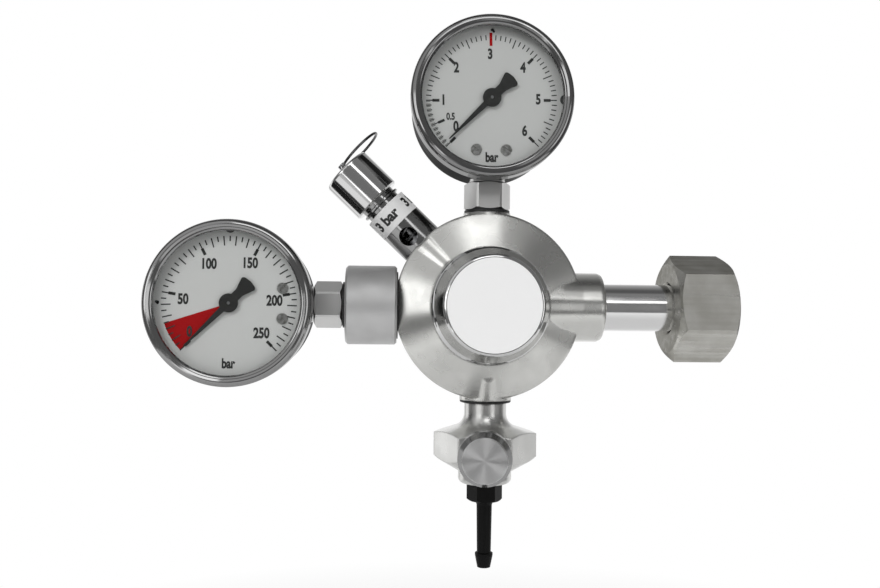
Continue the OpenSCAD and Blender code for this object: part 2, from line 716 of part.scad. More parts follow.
// The needle points along local +X before it is turned to its place
module gauge_pointer(turn) color("black") rotate([0, -turn, 0]) {
  top = window_back - 0.4;
  thick = 0.45;
  low = dial_front + 0.9;
  corner = 1.4;
  end_x = corner - tail_len;
  end_y = tail_w / 2 - corner;
  rotate([90, 0, 0]) difference() {
    union() {
      translate([0, 0, low]) linear_extrude(thick) polygon(concat(
        [[0, -1.1], [pointer_len, -0.2], [pointer_len + 0.3, 0], [pointer_len, 0.2], [0, 1.1],
         [0, tail_neck_w / 2], [-tail_len / 2, tail_neck_w / 2]],
        arc(end_x, end_y, corner, 110, 180, 4), [[-tail_len - 0.25, 0]],
        arc(end_x, -end_y, corner, 180, 250, 4), [[-tail_len / 2, -tail_neck_w / 2], [0, -tail_neck_w / 2]]));
      bore(hub_pointer_d, low, low + thick + 0.15);
      bore(arbor_d + 1, low, top);
    }
    bore(arbor_d - 0.2 + 2 * screw_gap, low - 1, top - 0.2);
  }
}

// Movement: sector gear, pinion, hairspring and link between two plates
frame_front = dial_front - dial_t - 1.6;
frame_back = frame_front - 2 * frame_t - frame_gap;
sector_mid = frame_front - frame_t - frame_gap * 0.32;
pinion_r = gear_module * pinion_teeth / 2;
sector_r = gear_module * sector_full_teeth / 2;
pivot_z = -pinion_r - sector_r;
sector_swing = pointer_travel * pinion_teeth / sector_full_teeth;
tooth_pitch = 360 / sector_full_teeth;
block_front = frame_back;
block_top = screw_z + 2.6;
frame_top = 5.2;
frame_low = -21.5;
pillar_x = frame_w / 2 - 1.6;
pillar_d = 2.4;
pin_small = arbor_d * 0.75;

module movement_plate(front) {
  rotate([90, 0, 0]) translate([0, 0, front - frame_t]) linear_extrude(frame_t) difference() {
    translate([-frame_w / 2, frame_low]) square([frame_w, frame_top - frame_low]);
    circle(d = arbor_d + 2 * run_gap, $fn = small);
    translate([0, pivot_z]) circle(d = arbor_d + 2 * run_gap, $fn = small);
  }
}

module gauge_movement_frame() color("goldenrod") union() {
  movement_plate(frame_front);
  movement_plate(frame_back + frame_t);
  for (x = [-pillar_x, pillar_x], z = [frame_top - 1.8, frame_low + 1.8])
    translate([x, 0, z]) bore_y(pillar_d, -frame_front + frame_t / 2, -frame_back - frame_t / 2);
  for (x = [-dial_screw_x, dial_screw_x]) translate([x, 0, screw_z]) difference() {
    bore_y(dial_screw_d, -dial_front + dial_t, -frame_front + frame_t / 2);
    bore_y(dial_screw_d * 0.55 + 2 * screw_gap, -dial_front - 1, -frame_front + 0.01);
  }
}

// One straight-sided tooth standing on radius r and pointing along +X
module tooth(r) {
  add = gear_module * 0.75;
  root = gear_module * 1.1;
  polygon([[r - root - 0.2, -0.9 * gear_module], [r - root, -0.9 * gear_module], [r, -0.58 * gear_module],
    [r + add, -0.3 * gear_module], [r + add, 0.3 * gear_module], [r, 0.58 * gear_module],
    [r - root, 0.9 * gear_module], [r - root - 0.2, 0.9 * gear_module]]);
}

module gauge_sector_gear() color("goldenrod") translate([0, 0, pivot_z]) {
  span_low = 90 - sector_swing - 2 * tooth_pitch;
  span_high = 90 + 2 * tooth_pitch;
  rim = sector_r - gear_module * 1.1;
  tail_rest = 270 - sector_swing / 2;
  rotate([90, 0, 0]) {
    translate([0, 0, sector_mid - sector_t / 2]) linear_extrude(sector_t) difference() {
      union() {
        circle(r = arbor_d * 1.6, $fn = small);
        difference() {
          polygon(concat([[0, 0]], arc(0, 0, rim, span_low, span_high, 16)));
          polygon(concat([[0, 0]], arc(0, 0, rim - 2, span_low - 5, span_high + 5, 16)));
        }
        for (a = [span_low + 2.5, (span_low + span_high) / 2, span_high - 2.5]) rotate(a)
          translate([0, -0.55]) square([rim - 1, 1.1]);
        for (i = [-1:floor(sector_swing / tooth_pitch) + 1]) rotate(90 - i * tooth_pitch) tooth(sector_r);
        rotate(tail_rest) translate([0, -0.9]) square([sector_tail, 1.8]);
        rotate(tail_rest) translate([sector_tail, 0]) circle(d = 2.2, $fn = small);
      }
      rotate(tail_rest) translate([sector_tail, 0]) circle(d = pin_small + 2 * run_gap, $fn = small);
    }
    bore(arbor_d, frame_back + 0.1, frame_front - 0.1);
    bore(arbor_d + 0.8, frame_back + frame_t + side_gap, frame_front - frame_t - side_gap);
  }
}

module gauge_pinion() color("goldenrod") rotate([90, 0, 0]) {
  bore(arbor_d, frame_back + 0.1, frame_front);
  bore(arbor_d - 0.2, frame_front - 0.5, window_back - 0.65);
  translate([0, 0, sector_mid - sector_t]) linear_extrude(2 * sector_t) union() {
    circle(r = pinion_r - gear_module * 1.1, $fn = small);
    for (i = [0:pinion_teeth - 1]) rotate(270 + (i + 0.5) * 360 / pinion_teeth) tooth(pinion_r);
  }
}

// Flat spiral from the pinion's arbor out to a stud on the back plate
hair_pitch = 0.8;
hair_t = 0.22;
hair_steps = 20 * hair_turns;

function spiral(r0) = [for (i = [0:hair_steps]) let (a = 360 * hair_turns * i / hair_steps)
  [cos(a), sin(a)] * (r0 + hair_pitch * a / 360)];

module gauge_hairspring() color("darkgoldenrod") {
  near = spiral(arbor_d / 2 + 0.1);
  far = spiral(arbor_d / 2 + 0.1 + hair_t);
  rotate([90, 0, 0]) translate([0, 0, frame_back + frame_t + 0.3]) linear_extrude(0.7)
    polygon(concat(near, [for (i = [hair_steps:-1:0]) far[i]]));
}

// The link hangs on a pin through the sector's tail and reaches the tube's tip
tip_angle = -32;
tail_pin = [sector_tail * cos(270 - sector_swing / 2), pivot_z + sector_tail * sin(270 - sector_swing / 2)];
tip_pin = [(bourdon_r - 2.4) * cos(tip_angle), (bourdon_r - 2.4) * sin(tip_angle) - 0.6];
link_y = sector_mid - sector_t / 2 - side_gap;

module gauge_link() color("goldenrod") rotate([90, 0, 0]) {
  reach = norm(tip_pin - tail_pin);
  lean = atan2(tip_pin[1] - tail_pin[1], tip_pin[0] - tail_pin[0]);
  translate([tail_pin[0], tail_pin[1], 0]) {
    translate([0, 0, link_y - 0.6]) linear_extrude(0.6) rotate(lean) difference() {
      union() {
        translate([0, -0.6]) square([reach, 1.2]);
        circle(d = 2, $fn = small);
        translate([reach, 0]) circle(d = 2.4, $fn = small);
      }
      translate([reach, 0]) circle(d = pin_small + 2 * loose_gap, $fn = small);
    }
    bore(pin_small, link_y - 0.6, sector_mid + sector_t / 2 + 0.3);
  }
}

// Flattened tube, open inside, from the socket block round to its closed tip
block_w = 15;
thread_end = socket_end + gauge_thread_len - 0.4;
bourdon_mid = frame_back - 0.4 - bourdon_w / 2;
tube_start = 180 + 76;

module flat_section(t, w) {
  union() {
    square([t, w - t], center = true);
    for (s = [-1, 1]) translate([0, s * (w - t) / 2]) circle(d = t, $fn = 32);
  }
}

module bourdon_sweep(t, w, from, to) {
  rotate([90, 0, 0]) translate([0, 0, bourdon_mid]) rotate([0, 0, from])
    rotate_extrude(angle = to - from, $fn = fine) translate([bourdon_r, 0]) flat_section(t, w);
}

module gauge_bourdon_tube() color("darkgoldenrod") {
  difference() {
    bourdon_sweep(bourdon_t, bourdon_w, tip_angle, tube_start);
    bourdon_sweep(bourdon_t - 2 * bourdon_wall, bourdon_w - 2 * bourdon_wall, tip_angle + 4, tube_start + 1);
  }
  rotate([90, 0, 0]) {
    translate([tip_pin[0], tip_pin[1], 0]) bore(pin_small, bourdon_mid, link_y + 0.4);
    translate([0, 0, bourdon_mid - 1]) linear_extrude(2) rotate(tip_angle)
      translate([bourdon_r - 4, -2.4]) square([4, 3.6]);
  }
}

module gauge_socket() color("silver") difference() {
  union() {
    intersection() {
      translate([-block_w / 2, -block_front, -case_r])
        cube([block_w, block_front + bourdon_w, case_r + block_top]);
      bore_y(case_d - 2 * case_wall - 0.1, -case_front, case_back - case_wall - 0.4, fine);
    }
    rotate([180, 0, 0]) {
      bore(neck_d, -frame_low + side_gap, case_r + 1);
      intersection() {
        hex_bar(socket_af, case_r + 0.5, socket_end, socket_af * 0.93);
        bore(socket_af * 1.12, case_r, socket_end, fine);
      }
      turned([[0, socket_end - 1], [gauge_thread_d / 2, socket_end - 1],
        [gauge_thread_d / 2, thread_end - 0.8], [gauge_thread_d / 2 - 0.8, thread_end], [0, thread_end]]);
    }
  }
  rotate([180, 0, 0]) bore(gauge_bore_d, -screw_z, thread_end + 1);
  bourdon_sweep(bourdon_t + 2 * screw_gap, bourdon_w + 2 * screw_gap, 180, 250 + 40);
}

module gauge_seal() color("black") rotate([180, 0, 0]) difference() {
  bore(gauge_boss_d - 0.6, socket_end, socket_end + seal_t);
  bore(gauge_thread_d + 0.2, socket_end - 1, socket_end + seal_t + 1);
}

module gauge_dial_screws() {
  head = 0.55;
  slot = 0.8;
  for (x = [-dial_screw_x, dial_screw_x]) translate([x, 0, screw_z]) difference() {
    union() {
      bore_y(dial_screw_d, -dial_front - head, -dial_front);
      bore_y(dial_screw_d * 0.55, -dial_front, -frame_front - side_gap);
    }
    rotate([0, 30, 0]) translate([-dial_screw_d, -dial_front - head - 0.01, -slot / 2])
      cube([2 * dial_screw_d, head * 0.6, slot]);
  }
}

module dial_screws() color("silver") {
  outlet_gauge() gauge_dial_screws();
  cylinder_gauge() gauge_dial_screws();
}

// Relief valve, along the local Z of its port
relief_shoulder = relief_face + relief_lower;
neck_from = relief_shoulder + band_w;
cap_from = neck_from + relief_neck;
cap_end = cap_from + cap_len;
disc_face = relief_face + 1;
disc_t = 2.4;
chamber_d = relief_coil_d + relief_wire_d + 2 * side_gap;
ring_at = cap_end + relief_stem_out - 1.1;
ring_hole_d = ring_wire_d + 0.5;

module relief_body() color("silver") port(relief_angle) difference() {
  band_r = relief_d / 2 - band_t;
  groove_r = relief_d / 2 - 1.4;
  start = relief_face - gauge_thread_len + 0.6;
  turned([[0, start], [gauge_thread_d / 2 - 0.8, start], [gauge_thread_d / 2, start + 0.8],
    [gauge_thread_d / 2, relief_face],
    [relief_d / 2 - 0.4, relief_face], [relief_d / 2, relief_face + 0.4],
    [relief_d / 2, relief_shoulder], [band_r, relief_shoulder],
    [band_r, neck_from], [groove_r, neck_from + 0.3], [groove_r, neck_from + relief_neck * 0.35],
    [groove_r + 0.9, neck_from + relief_neck * 0.45], [groove_r + 0.9, neck_from + relief_neck * 0.6],
    [groove_r, neck_from + relief_neck * 0.7], [groove_r, cap_from + 3], [0, cap_from + 3]]);
  bore(passage_d, relief_face - gauge_thread_len, disc_face);
  bore(chamber_d, disc_face, cap_from + 4);
  translate([0, 0, relief_face + relief_lower / 2]) rotate([0, 0, -vent_turn])
    rotate([90, 0, 0]) bore(vent_d, 0, relief_d);
}

module relief_band() color("whitesmoke") port(relief_angle) difference() {
  bore(relief_d, relief_shoulder + 0.05, neck_from, fine);
  bore(relief_d - 2 * band_t + 2 * screw_gap, relief_shoulder - 1, neck_from + 1, fine);
}

cap_inner = cap_from + 3 + side_gap;

module relief_cap() color("silver") port(relief_angle) difference() {
  edge = 1;
  groove_r = relief_d / 2 - 1.4;
  turned(concat([[0, cap_from], [cap_d / 2 - 0.5, cap_from], [cap_d / 2, cap_from + 0.5]],
    arc(cap_d / 2 - edge, cap_end - edge, edge, 0, 90), [[0, cap_end]]));
  bore(2 * groove_r + 2 * screw_gap, cap_from - 1, cap_inner, fine);
  bore(chamber_d, cap_from, cap_end - 3.5, fine);
  bore(relief_stem_d + 2 * run_gap, cap_from, cap_end + 1);
}

module relief_stem() color("goldenrod") port(relief_angle) difference() {
  union() {
    bore(relief_coil_d + relief_wire_d, disc_face + 0.01, disc_face + disc_t);
    bore(relief_stem_d, disc_face + 1, cap_end + relief_stem_out);
  }
  translate([0, 0, ring_at]) rotate([90, 0, 0]) bore(ring_hole_d, -relief_stem_d, relief_stem_d);
}

module relief_spring() color("dimgray") port(relief_angle) translate([0, 0, disc_face + disc_t])
  coil(relief_coil_d, relief_wire_d, 7, cap_end - 3.5 - disc_face - disc_t);

// Wire ring through the stem, lying across the cap towards the gauge
module pull_ring() color("silver") port(relief_angle) translate([ring_r, 0, ring_at])
  rotate_extrude($fn = fine) translate([ring_r, 0]) circle(d = ring_wire_d, $fn = 24);

// Needle valve, along the local Z of the outlet port and turned about it as it was screwed in
valve_top = outlet_boss_face + valve_neck_len;
valve_corner_r = valve_af / 2 / cos(30);
flare_end_r = valve_neck_d / 2 + flare_r;
corner_top = valve_top + (valve_corner_r - flare_end_r) * tan(valve_top_slope);
corner_low = corner_top + valve_corner_h;
hex_end = corner_low + (valve_corner_r - valve_foot_d / 2) * tan(valve_low_slope);
foot_end = hex_end + valve_foot;
needle_drop = valve_top + needle_inset;
neck_near = outlet_boss_face + seal_t * 0.9;
barb_thread_d = gauge_thread_d;
barb_thread_len = 6;

module valve() { port(270) rotate([0, 0, valve_turn]) children(); }

// A hexagonal bar turned down to its neck, its shoulders and its foot
module needle_valve_body() color("gainsboro") valve() difference() {
  neck_r = valve_neck_d / 2;
  foot_r = valve_foot_d / 2;
  foot_round = 1.8;
  start = outlet_boss_face - gauge_thread_len + 0.6;
  intersection() {
    turned(concat([[0, start], [gauge_thread_d / 2 - 0.8, start], [gauge_thread_d / 2, start + 0.8],
      [gauge_thread_d / 2, neck_near], [neck_r, neck_near]],
      arc(flare_end_r, valve_top - flare_r, flare_r, 180, 90 + valve_top_slope),
      [[valve_corner_r + 0.1, corner_top], [valve_corner_r + 0.1, corner_low], [foot_r, hex_end]],
      arc(foot_r - foot_round, foot_end - foot_round, foot_round, 0, 90), [[0, foot_end]]));
    translate([0, 0, start]) cylinder(r = valve_corner_r, h = foot_end - start, $fn = 6);
  }
  needle_bores();
  bore(passage_d, start - 1, needle_drop);
  bore(barb_thread_d + 2 * screw_gap, foot_end - barb_thread_len - 0.6, foot_end + 1);
  translate([0, rear_y, 0]) bore(passage_d - 0.4, needle_drop, foot_end - barb_thread_len + 0.4);
}

// The outlet port's local frame has the world's front at -Y, as everywhere
seat_y = 2;
rear_y = barb_thread_d / 2 + 0.4;
gland_depth = 8.4;
tip_len = 3.2;
chamber_front = valve_af / 2 - gland_depth;

module needle_bores() translate([0, 0, needle_drop]) {
  bore_y(gland_d + 2 * screw_gap, -valve_af, -chamber_front);
  bore_y(spindle_d + 1.2, -valve_af, seat_y);
  bore_y(needle_seat_d, 0, rear_y);
}

module outlet_seal() color("black") port(270) {
  inner = gauge_thread_d / 2 + 0.1;
  half = (neck_near - outlet_boss_face) / 2;
  turned(concat([[inner, outlet_boss_face]],
    arc(outlet_boss_d / 2 - 0.6, outlet_boss_face + half, half, -90, 90, 6), [[inner, neck_near]]));
}

// Gland and spindle share the needle's axis
seal_groove_d = spindle_d + 2.2;
seal_groove_w = 2.4;

module needle_gland() color("silver") valve() translate([0, 0, needle_drop]) difference() {
  union() {
    bore_y(gland_d, -valve_af / 2, -chamber_front - 0.1);
    bore_y(gland_d + 0.8, -gland_front, -valve_af / 2, fine);
  }
  bore_y(spindle_d + 2 * run_gap, -gland_front - 1, 0);
  bore_y(seal_groove_d, -gland_front + 1, -gland_front + 1 + seal_groove_w);
}

module spindle_seal() color("black") valve() translate([0, 0, needle_drop]) difference() {
  bore_y(seal_groove_d - 0.04, -gland_front + 1.1, -gland_front + 0.9 + seal_groove_w);
  bore_y(spindle_d + 0.06, -gland_front, 0);
}

knob_back = gland_front + side_gap;
knob_front = knob_back + knob_len;

module needle_spindle() color("silver") valve() translate([0, 0, needle_drop]) {
  tip_r = needle_seat_d / 2 - 0.15;
  turned_y([[0, -knob_back - 5.4], [spindle_d / 2, -knob_back - 5.4], [spindle_d / 2, seat_y - tip_len],
    [needle_seat_d / 2 + 0.25, seat_y - 0.6], [tip_r, seat_y - 0.05], [tip_r - 0.35, seat_y + 1.4],
    [0, seat_y + 1.4]], small);
}

module needle_knob() color("silver") valve() translate([0, 0, needle_drop]) difference() {
  bevel = (knob_d - knob_face_d) / 2;
  turned_y([[0, -knob_front], [knob_face_d / 2 - 0.3, -knob_front], [knob_face_d / 2, -knob_front + 0.2],
    [knob_d / 2 - 0.3, -knob_front + bevel * 1.7], [knob_d / 2, -knob_front + bevel * 2.1],
    [knob_d / 2, -knob_back - 1.2], [knob_d / 2 - 0.8, -knob_back], [0, -knob_back]]);
  bore_y(spindle_d + 2 * screw_gap, -knob_back - 5.5, -knob_back + 1);
}

// Hose barb
module hose_barb() color("black") port(270) difference() {
  near = foot_end;
  collar_end = near + barb_collar;
  stem_end = collar_end + barb_stem;
  union() {
    bore(barb_thread_d, near - barb_thread_len, near + 0.5);
    hex_bar(barb_collar_d * 0.93, near, collar_end, barb_collar_d * 0.9);
    turned([[0, near + 1], [barb_collar_d * 0.42, near + 1], [barb_collar_d * 0.42, collar_end - 1],
      [barb_stem_d / 2 + 0.3, collar_end + 0.6], [barb_stem_d / 2, collar_end + 1.4],
      [barb_stem_d / 2 - 0.25, stem_end], [barb_d / 2, stem_end + 0.3], [barb_d / 2, stem_end + 1],
      [barb_d / 2 - 0.8, stem_end + barb_taper], [0, stem_end + barb_taper]]);
  }
  bore(barb_bore_d, near - barb_thread_len - 1, stem_end + barb_taper + 1);
}

regulator_body();
spring_bonnet();
label_disc();
adjusting_screw();
spring_button();
range_spring();
diaphragm();
diaphragm_plate();
valve_seat();
poppet();
poppet_spring();
rear_plug();
rear_plug_seal();
inlet_stem();
inlet_filter();
inlet_washer();
union_nut();
gauge_adapter();
adapter_seal();
outlet_gauge() gauge_case();  // outlet_gauge_case
outlet_gauge() gauge_bezel();  // outlet_gauge_bezel
outlet_gauge() gauge_window();  // outlet_gauge_window
outlet_gauge() gauge_dial();  // outlet_gauge_dial
outlet_gauge() gauge_pointer(zero_angle);  // outlet_gauge_pointer
outlet_gauge() gauge_socket();  // outlet_gauge_socket
outlet_gauge() gauge_bourdon_tube();  // outlet_gauge_bourdon_tube
outlet_gauge() gauge_movement_frame();  // outlet_gauge_movement_frame
outlet_gauge() gauge_link();  // outlet_gauge_link
outlet_gauge() gauge_hairspring();  // outlet_gauge_hairspring
outlet_gauge() gauge_sector_gear();  // outlet_gauge_sector_gear
outlet_gauge() gauge_pinion();  // outlet_gauge_pinion
outlet_gauge() gauge_seal();  // outlet_gauge_seal
cylinder_gauge() gauge_case();  // cylinder_gauge_case
cylinder_gauge() gauge_bezel();  // cylinder_gauge_bezel
cylinder_gauge() gauge_window();  // cylinder_gauge_window
cylinder_gauge() gauge_dial();  // cylinder_gauge_dial
cylinder_gauge() gauge_pointer(zero_angle - 90);  // cylinder_gauge_pointer
cylinder_gauge() gauge_socket();  // cylinder_gauge_socket
cylinder_gauge() gauge_bourdon_tube();  // cylinder_gauge_bourdon_tube
cylinder_gauge() gauge_movement_frame();  // cylinder_gauge_movement_frame
cylinder_gauge() gauge_link();  // cylinder_gauge_link
cylinder_gauge() gauge_hairspring();  // cylinder_gauge_hairspring
cylinder_gauge() gauge_sector_gear();  // cylinder_gauge_sector_gear
cylinder_gauge() gauge_pinion();  // cylinder_gauge_pinion
cylinder_gauge() gauge_seal();  // cylinder_gauge_seal
dial_screws();
relief_body();
relief_band();
relief_cap();
relief_stem();
relief_spring();
pull_ring();
needle_valve_body();
outlet_seal();
needle_gland();
needle_spindle();
spindle_seal();
needle_knob();
hose_barb();
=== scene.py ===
"""An aquarium carbon dioxide regulator: its plated and enamelled finishes, dial prints and small details."""
import json
import math

import bmesh
import bpy
from mathutils import Matrix, Vector


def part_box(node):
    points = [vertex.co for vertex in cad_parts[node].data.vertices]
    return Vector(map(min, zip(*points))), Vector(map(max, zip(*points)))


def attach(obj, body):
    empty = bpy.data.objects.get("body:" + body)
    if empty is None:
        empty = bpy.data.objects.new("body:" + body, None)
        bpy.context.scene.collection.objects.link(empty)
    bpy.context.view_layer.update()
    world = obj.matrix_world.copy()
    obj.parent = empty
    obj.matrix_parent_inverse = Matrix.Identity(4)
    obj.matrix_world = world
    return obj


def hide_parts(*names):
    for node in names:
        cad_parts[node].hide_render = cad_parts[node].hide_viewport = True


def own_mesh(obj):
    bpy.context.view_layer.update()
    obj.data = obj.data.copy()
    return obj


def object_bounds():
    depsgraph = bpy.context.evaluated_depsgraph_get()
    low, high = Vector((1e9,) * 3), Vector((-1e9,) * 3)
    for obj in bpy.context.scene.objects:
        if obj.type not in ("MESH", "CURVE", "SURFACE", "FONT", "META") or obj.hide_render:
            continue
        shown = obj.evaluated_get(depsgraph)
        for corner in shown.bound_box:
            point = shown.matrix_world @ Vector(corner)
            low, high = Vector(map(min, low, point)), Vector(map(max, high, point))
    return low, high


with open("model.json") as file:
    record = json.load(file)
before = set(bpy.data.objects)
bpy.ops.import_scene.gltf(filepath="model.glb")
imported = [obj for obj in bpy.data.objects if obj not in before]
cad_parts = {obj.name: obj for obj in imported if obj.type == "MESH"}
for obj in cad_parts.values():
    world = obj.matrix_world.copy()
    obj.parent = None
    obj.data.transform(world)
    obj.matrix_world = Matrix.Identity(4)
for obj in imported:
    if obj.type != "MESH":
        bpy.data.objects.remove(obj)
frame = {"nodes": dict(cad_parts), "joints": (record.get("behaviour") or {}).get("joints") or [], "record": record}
cad_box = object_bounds()
NODES = frame["nodes"]
MM = 0.001


def joint_entry(name):
    """The record's entry of a joint."""
    return next(j for j in frame["joints"] if j["name"] == name)


# Places that everything else is worked out from
OUTLET_GAUGE = Vector(joint_entry("outlet_pointer_turn")["pos_m"])
CYLINDER_GAUGE = Vector(joint_entry("cylinder_pointer_turn")["pos_m"])
BODY_CENTRE = Vector((OUTLET_GAUGE.x, 0, 0))
RELIEF_AXIS = Vector(joint_entry("relief_lift")["axis"])
NEEDLE_AXIS = Vector(joint_entry("knob_turn")["axis"])
NEEDLE_PLACE = Vector(joint_entry("knob_turn")["pos_m"])
AXIS_X, AXIS_Y, AXIS_Z = Vector((1, 0, 0)), Vector((0, 1, 0)), Vector((0, 0, 1))
TO_FRONT = Matrix.Rotation(math.radians(90), 4, "X")

# Camera: distance to the port plane, the point it looks at from the body's axis, and its turns
VIEW_DISTANCE = 293 * MM
VIEW_AIM = Vector((-15.7, 0, 4.0)) * MM
VIEW_YAW = math.radians(3.2)
VIEW_PITCH = math.radians(-1.5)
VIEW_ROLL = math.radians(0.6)
VIEW_LENS = 35.35


def make_camera():
    camera = bpy.data.objects.new("camera", bpy.data.cameras.new("camera"))
    bpy.context.scene.collection.objects.link(camera)
    camera.data.lens = VIEW_LENS
    camera.data.clip_start = 10 * MM
    turn = (Matrix.Rotation(-VIEW_YAW, 4, "Z") @ Matrix.Rotation(-VIEW_PITCH, 4, "X")
            @ Matrix.Rotation(-VIEW_ROLL, 4, "Y"))
    place = BODY_CENTRE + VIEW_AIM - VIEW_DISTANCE * (turn.to_3x3() @ AXIS_Y)
    camera.matrix_world = Matrix.Translation(place) @ turn @ TO_FRONT
    bpy.context.scene.camera = camera


make_camera()


def linear(code):
    """A shader colour from an sRGB hex value."""
    channels = [int(code[i:i + 2], 16) / 255 for i in (1, 3, 5)]
    return [c / 12.92 if c <= 0.04045 else ((c + 0.055) / 1.055) ** 2.4 for c in channels] + [1]


def add(tree, kind, inputs=None, stops=None, **settings):
    """Adds a node with its settings, the grey stops of a ramp, and its inputs as values or links."""
    node = tree.nodes.new("ShaderNode" + kind)
    for name, value in settings.items():
        setattr(node, name, value)
    for socket, value in (inputs or {}).items():
        if isinstance(value, bpy.types.NodeSocket):
            tree.links.new(value, node.inputs[socket])
        else:
            node.inputs[socket].default_value = value
    for i, (position, grey) in enumerate(stops or []):
        element = node.color_ramp.elements[i] if i < 2 else node.color_ramp.elements.new(position)
        element.position = position
        element.color = (grey, grey, grey, 1)
    return node


def new_material(name):
    material = bpy.data.materials.new(name)
    material.use_nodes = True
    material.node_tree.nodes.clear()
    return material, material.node_tree


def finish_material(tree, shader):
    add(tree, "OutputMaterial", {"Surface": shader})


# Panels of the studio as the part mirrors them, in degrees from the view's axis
STUDIO_PANELS = [
    # name, left and right edge, lower and upper edge, width of the soft edge, strength
    ("top_panel", -9, 14, 27, 50, 3, 2.3),
    ("left_panel", -54, -28, -2, 13, 3, 2.1),
    ("right_panel", 26, 44, -8, 8, 4, 1.4),
    ("low_panel", -2, 28, -52, -33, 4, 0.95),
    ("small_high_panel", 15, 22, 23, 30, 2, 2.2),
    ("small_low_panel", -25, -19, -18, -12, 2, 1.8),
    ("left_side_wall", -134, -111, -26, 10, 4, 0.8),
    ("right_side_wall", 110, 142, -26, 10, 5, 0.5),
    ("ground_glow", -181, 181, -91, -70, 8, 0.28),
    ("left_low_wall", -150, -86, -60, -28, 8, 0.2),
    ("upper_left_wall", -80, -16, 18, 60, 8, 0.5),
    ("lower_left_wall", -37, -14, -50, -18, 5, 0.42),
]
# Grey levels of the room by the angle away from the view's axis, as shares of a half turn
ROOM_LEVELS = [(0.0, 0.2), (0.30, 0.22), (0.39, 0.24), (0.45, 0.1), (0.53, 0.12), (0.62, 0.26), (0.75, 0.46),
               (1.0, 0.6)]
# The white surround is what the camera sees behind the part, in degrees away from the lens's side
SURROUND_FROM, SURROUND_FULL = 138, 158


def make_world():
    """A studio with soft panels round the lens and a white surround behind the part."""
    world = bpy.data.worlds.new("studio")
    bpy.context.scene.world = world
    world.use_nodes = True
    tree = world.node_tree
    tree.nodes.clear()
    axes = add(tree, "SeparateXYZ", {0: add(tree, "TexCoord").outputs["Generated"]}).outputs
    front = add(tree, "Math", {0: axes["Y"], 1: -1.0}, operation="MULTIPLY").outputs[0]
    away = add(tree, "Math", {0: front}, operation="ARCCOSINE").outputs[0]
    away = add(tree, "Math", {0: away}, operation="DEGREES").outputs[0]
    across = add(tree, "Math", {0: axes["X"], 1: front}, operation="ARCTAN2").outputs[0]
    across = add(tree, "Math", {0: across}, operation="DEGREES").outputs[0]
    up = add(tree, "Math", {0: axes["Z"]}, operation="ARCSINE").outputs[0]
    up = add(tree, "Math", {0: up}, operation="DEGREES").outputs[0]
    share = add(tree, "Math", {0: away, 1: 180.0}, operation="DIVIDE").outputs[0]
    level = add(tree, "ValToRGB", {"Fac": share}, ROOM_LEVELS).outputs["Color"]
    for name, left, right, low, high, edge, strength in STUDIO_PANELS:
        outside = []
        for angle, start, end in ((across, left, right), (up, low, high)):
            offset = add(tree, "Math", {0: angle, 1: (start + end) / 2}, operation="SUBTRACT").outputs[0]
            offset = add(tree, "Math", {0: offset}, operation="ABSOLUTE").outputs[0]
            offset = add(tree, "Math", {0: offset, 1: (end - start) / 2}, operation="SUBTRACT").outputs[0]
            outside.append(offset)
        farthest = add(tree, "Math", dict(enumerate(outside)), operation="MAXIMUM").outputs[0]
        panel = add(tree, "MapRange", {"Value": farthest, "From Min": 0.0, "From Max": edge,
                                       "To Min": strength, "To Max": 0.0},
                    interpolation_type="SMOOTHSTEP", name=name).outputs[0]
        level = add(tree, "Math", {0: level, 1: panel}, operation="ADD").outputs[0]
    behind = add(tree, "MapRange", {"Value": away, "From Min": SURROUND_FROM, "From Max": SURROUND_FULL},
                 interpolation_type="SMOOTHSTEP").outputs[0]
    ray = add(tree, "LightPath").outputs
    mirrored = add(tree, "Math", {0: ray["Is Glossy Ray"], 1: ray["Is Transmission Ray"]},
                   operation="MAXIMUM").outputs[0]
    mirrored = add(tree, "Math", {0: mirrored, 1: behind}, operation="MULTIPLY").outputs[0]
    white = add(tree, "Math", {0: ray["Is Camera Ray"], 1: mirrored}, operation="MAXIMUM").outputs[0]
    shown = add(tree, "Background", {"Color": (1, 1, 1, 1), "Strength": 1.0}).outputs[0]
    lit = add(tree, "Background", {"Color": level, "Strength": 1.0}).outputs[0]
    add(tree, "OutputWorld", {"Surface": add(tree, "MixShader", {0: white, 1: lit, 2: shown}).outputs[0]})


LAMPS = [
    # name, place from the body's centre in metres, side length in metres, power in watts
    ("key_lamp", (-0.40, -0.75, 0.50), 0.30, 2.6),
    ("fill_lamp", (0.55, -0.70, 0.05), 0.60, 1.5),
    ("rear_lamp", (0.20, 0.80, 0.60), 0.60, 5.0),
]


def make_lamps():
    """Soft lamps for the dials, label and plastics. The metal mirrors the studio and not the lamps."""
    for name, place, side, power in LAMPS:
        lamp = bpy.data.lights.new(name, "AREA")
        lamp.size = side
        lamp.energy = power
        lamp_object = bpy.data.objects.new(name, lamp)
        bpy.context.scene.collection.objects.link(lamp_object)
        lamp_object.location = BODY_CENTRE + Vector(place)
        lamp_object.rotation_euler = Vector(place).to_track_quat("Z", "Y").to_euler()
        lamp_object.visible_glossy = False


# Floor in metres: how far it lies under the part, its side, and the radii between which it turns white
FLOOR_DROP = 0.110
FLOOR_SIZE = 0.9
FADE_START, FADE_END = 0.15, 0.40


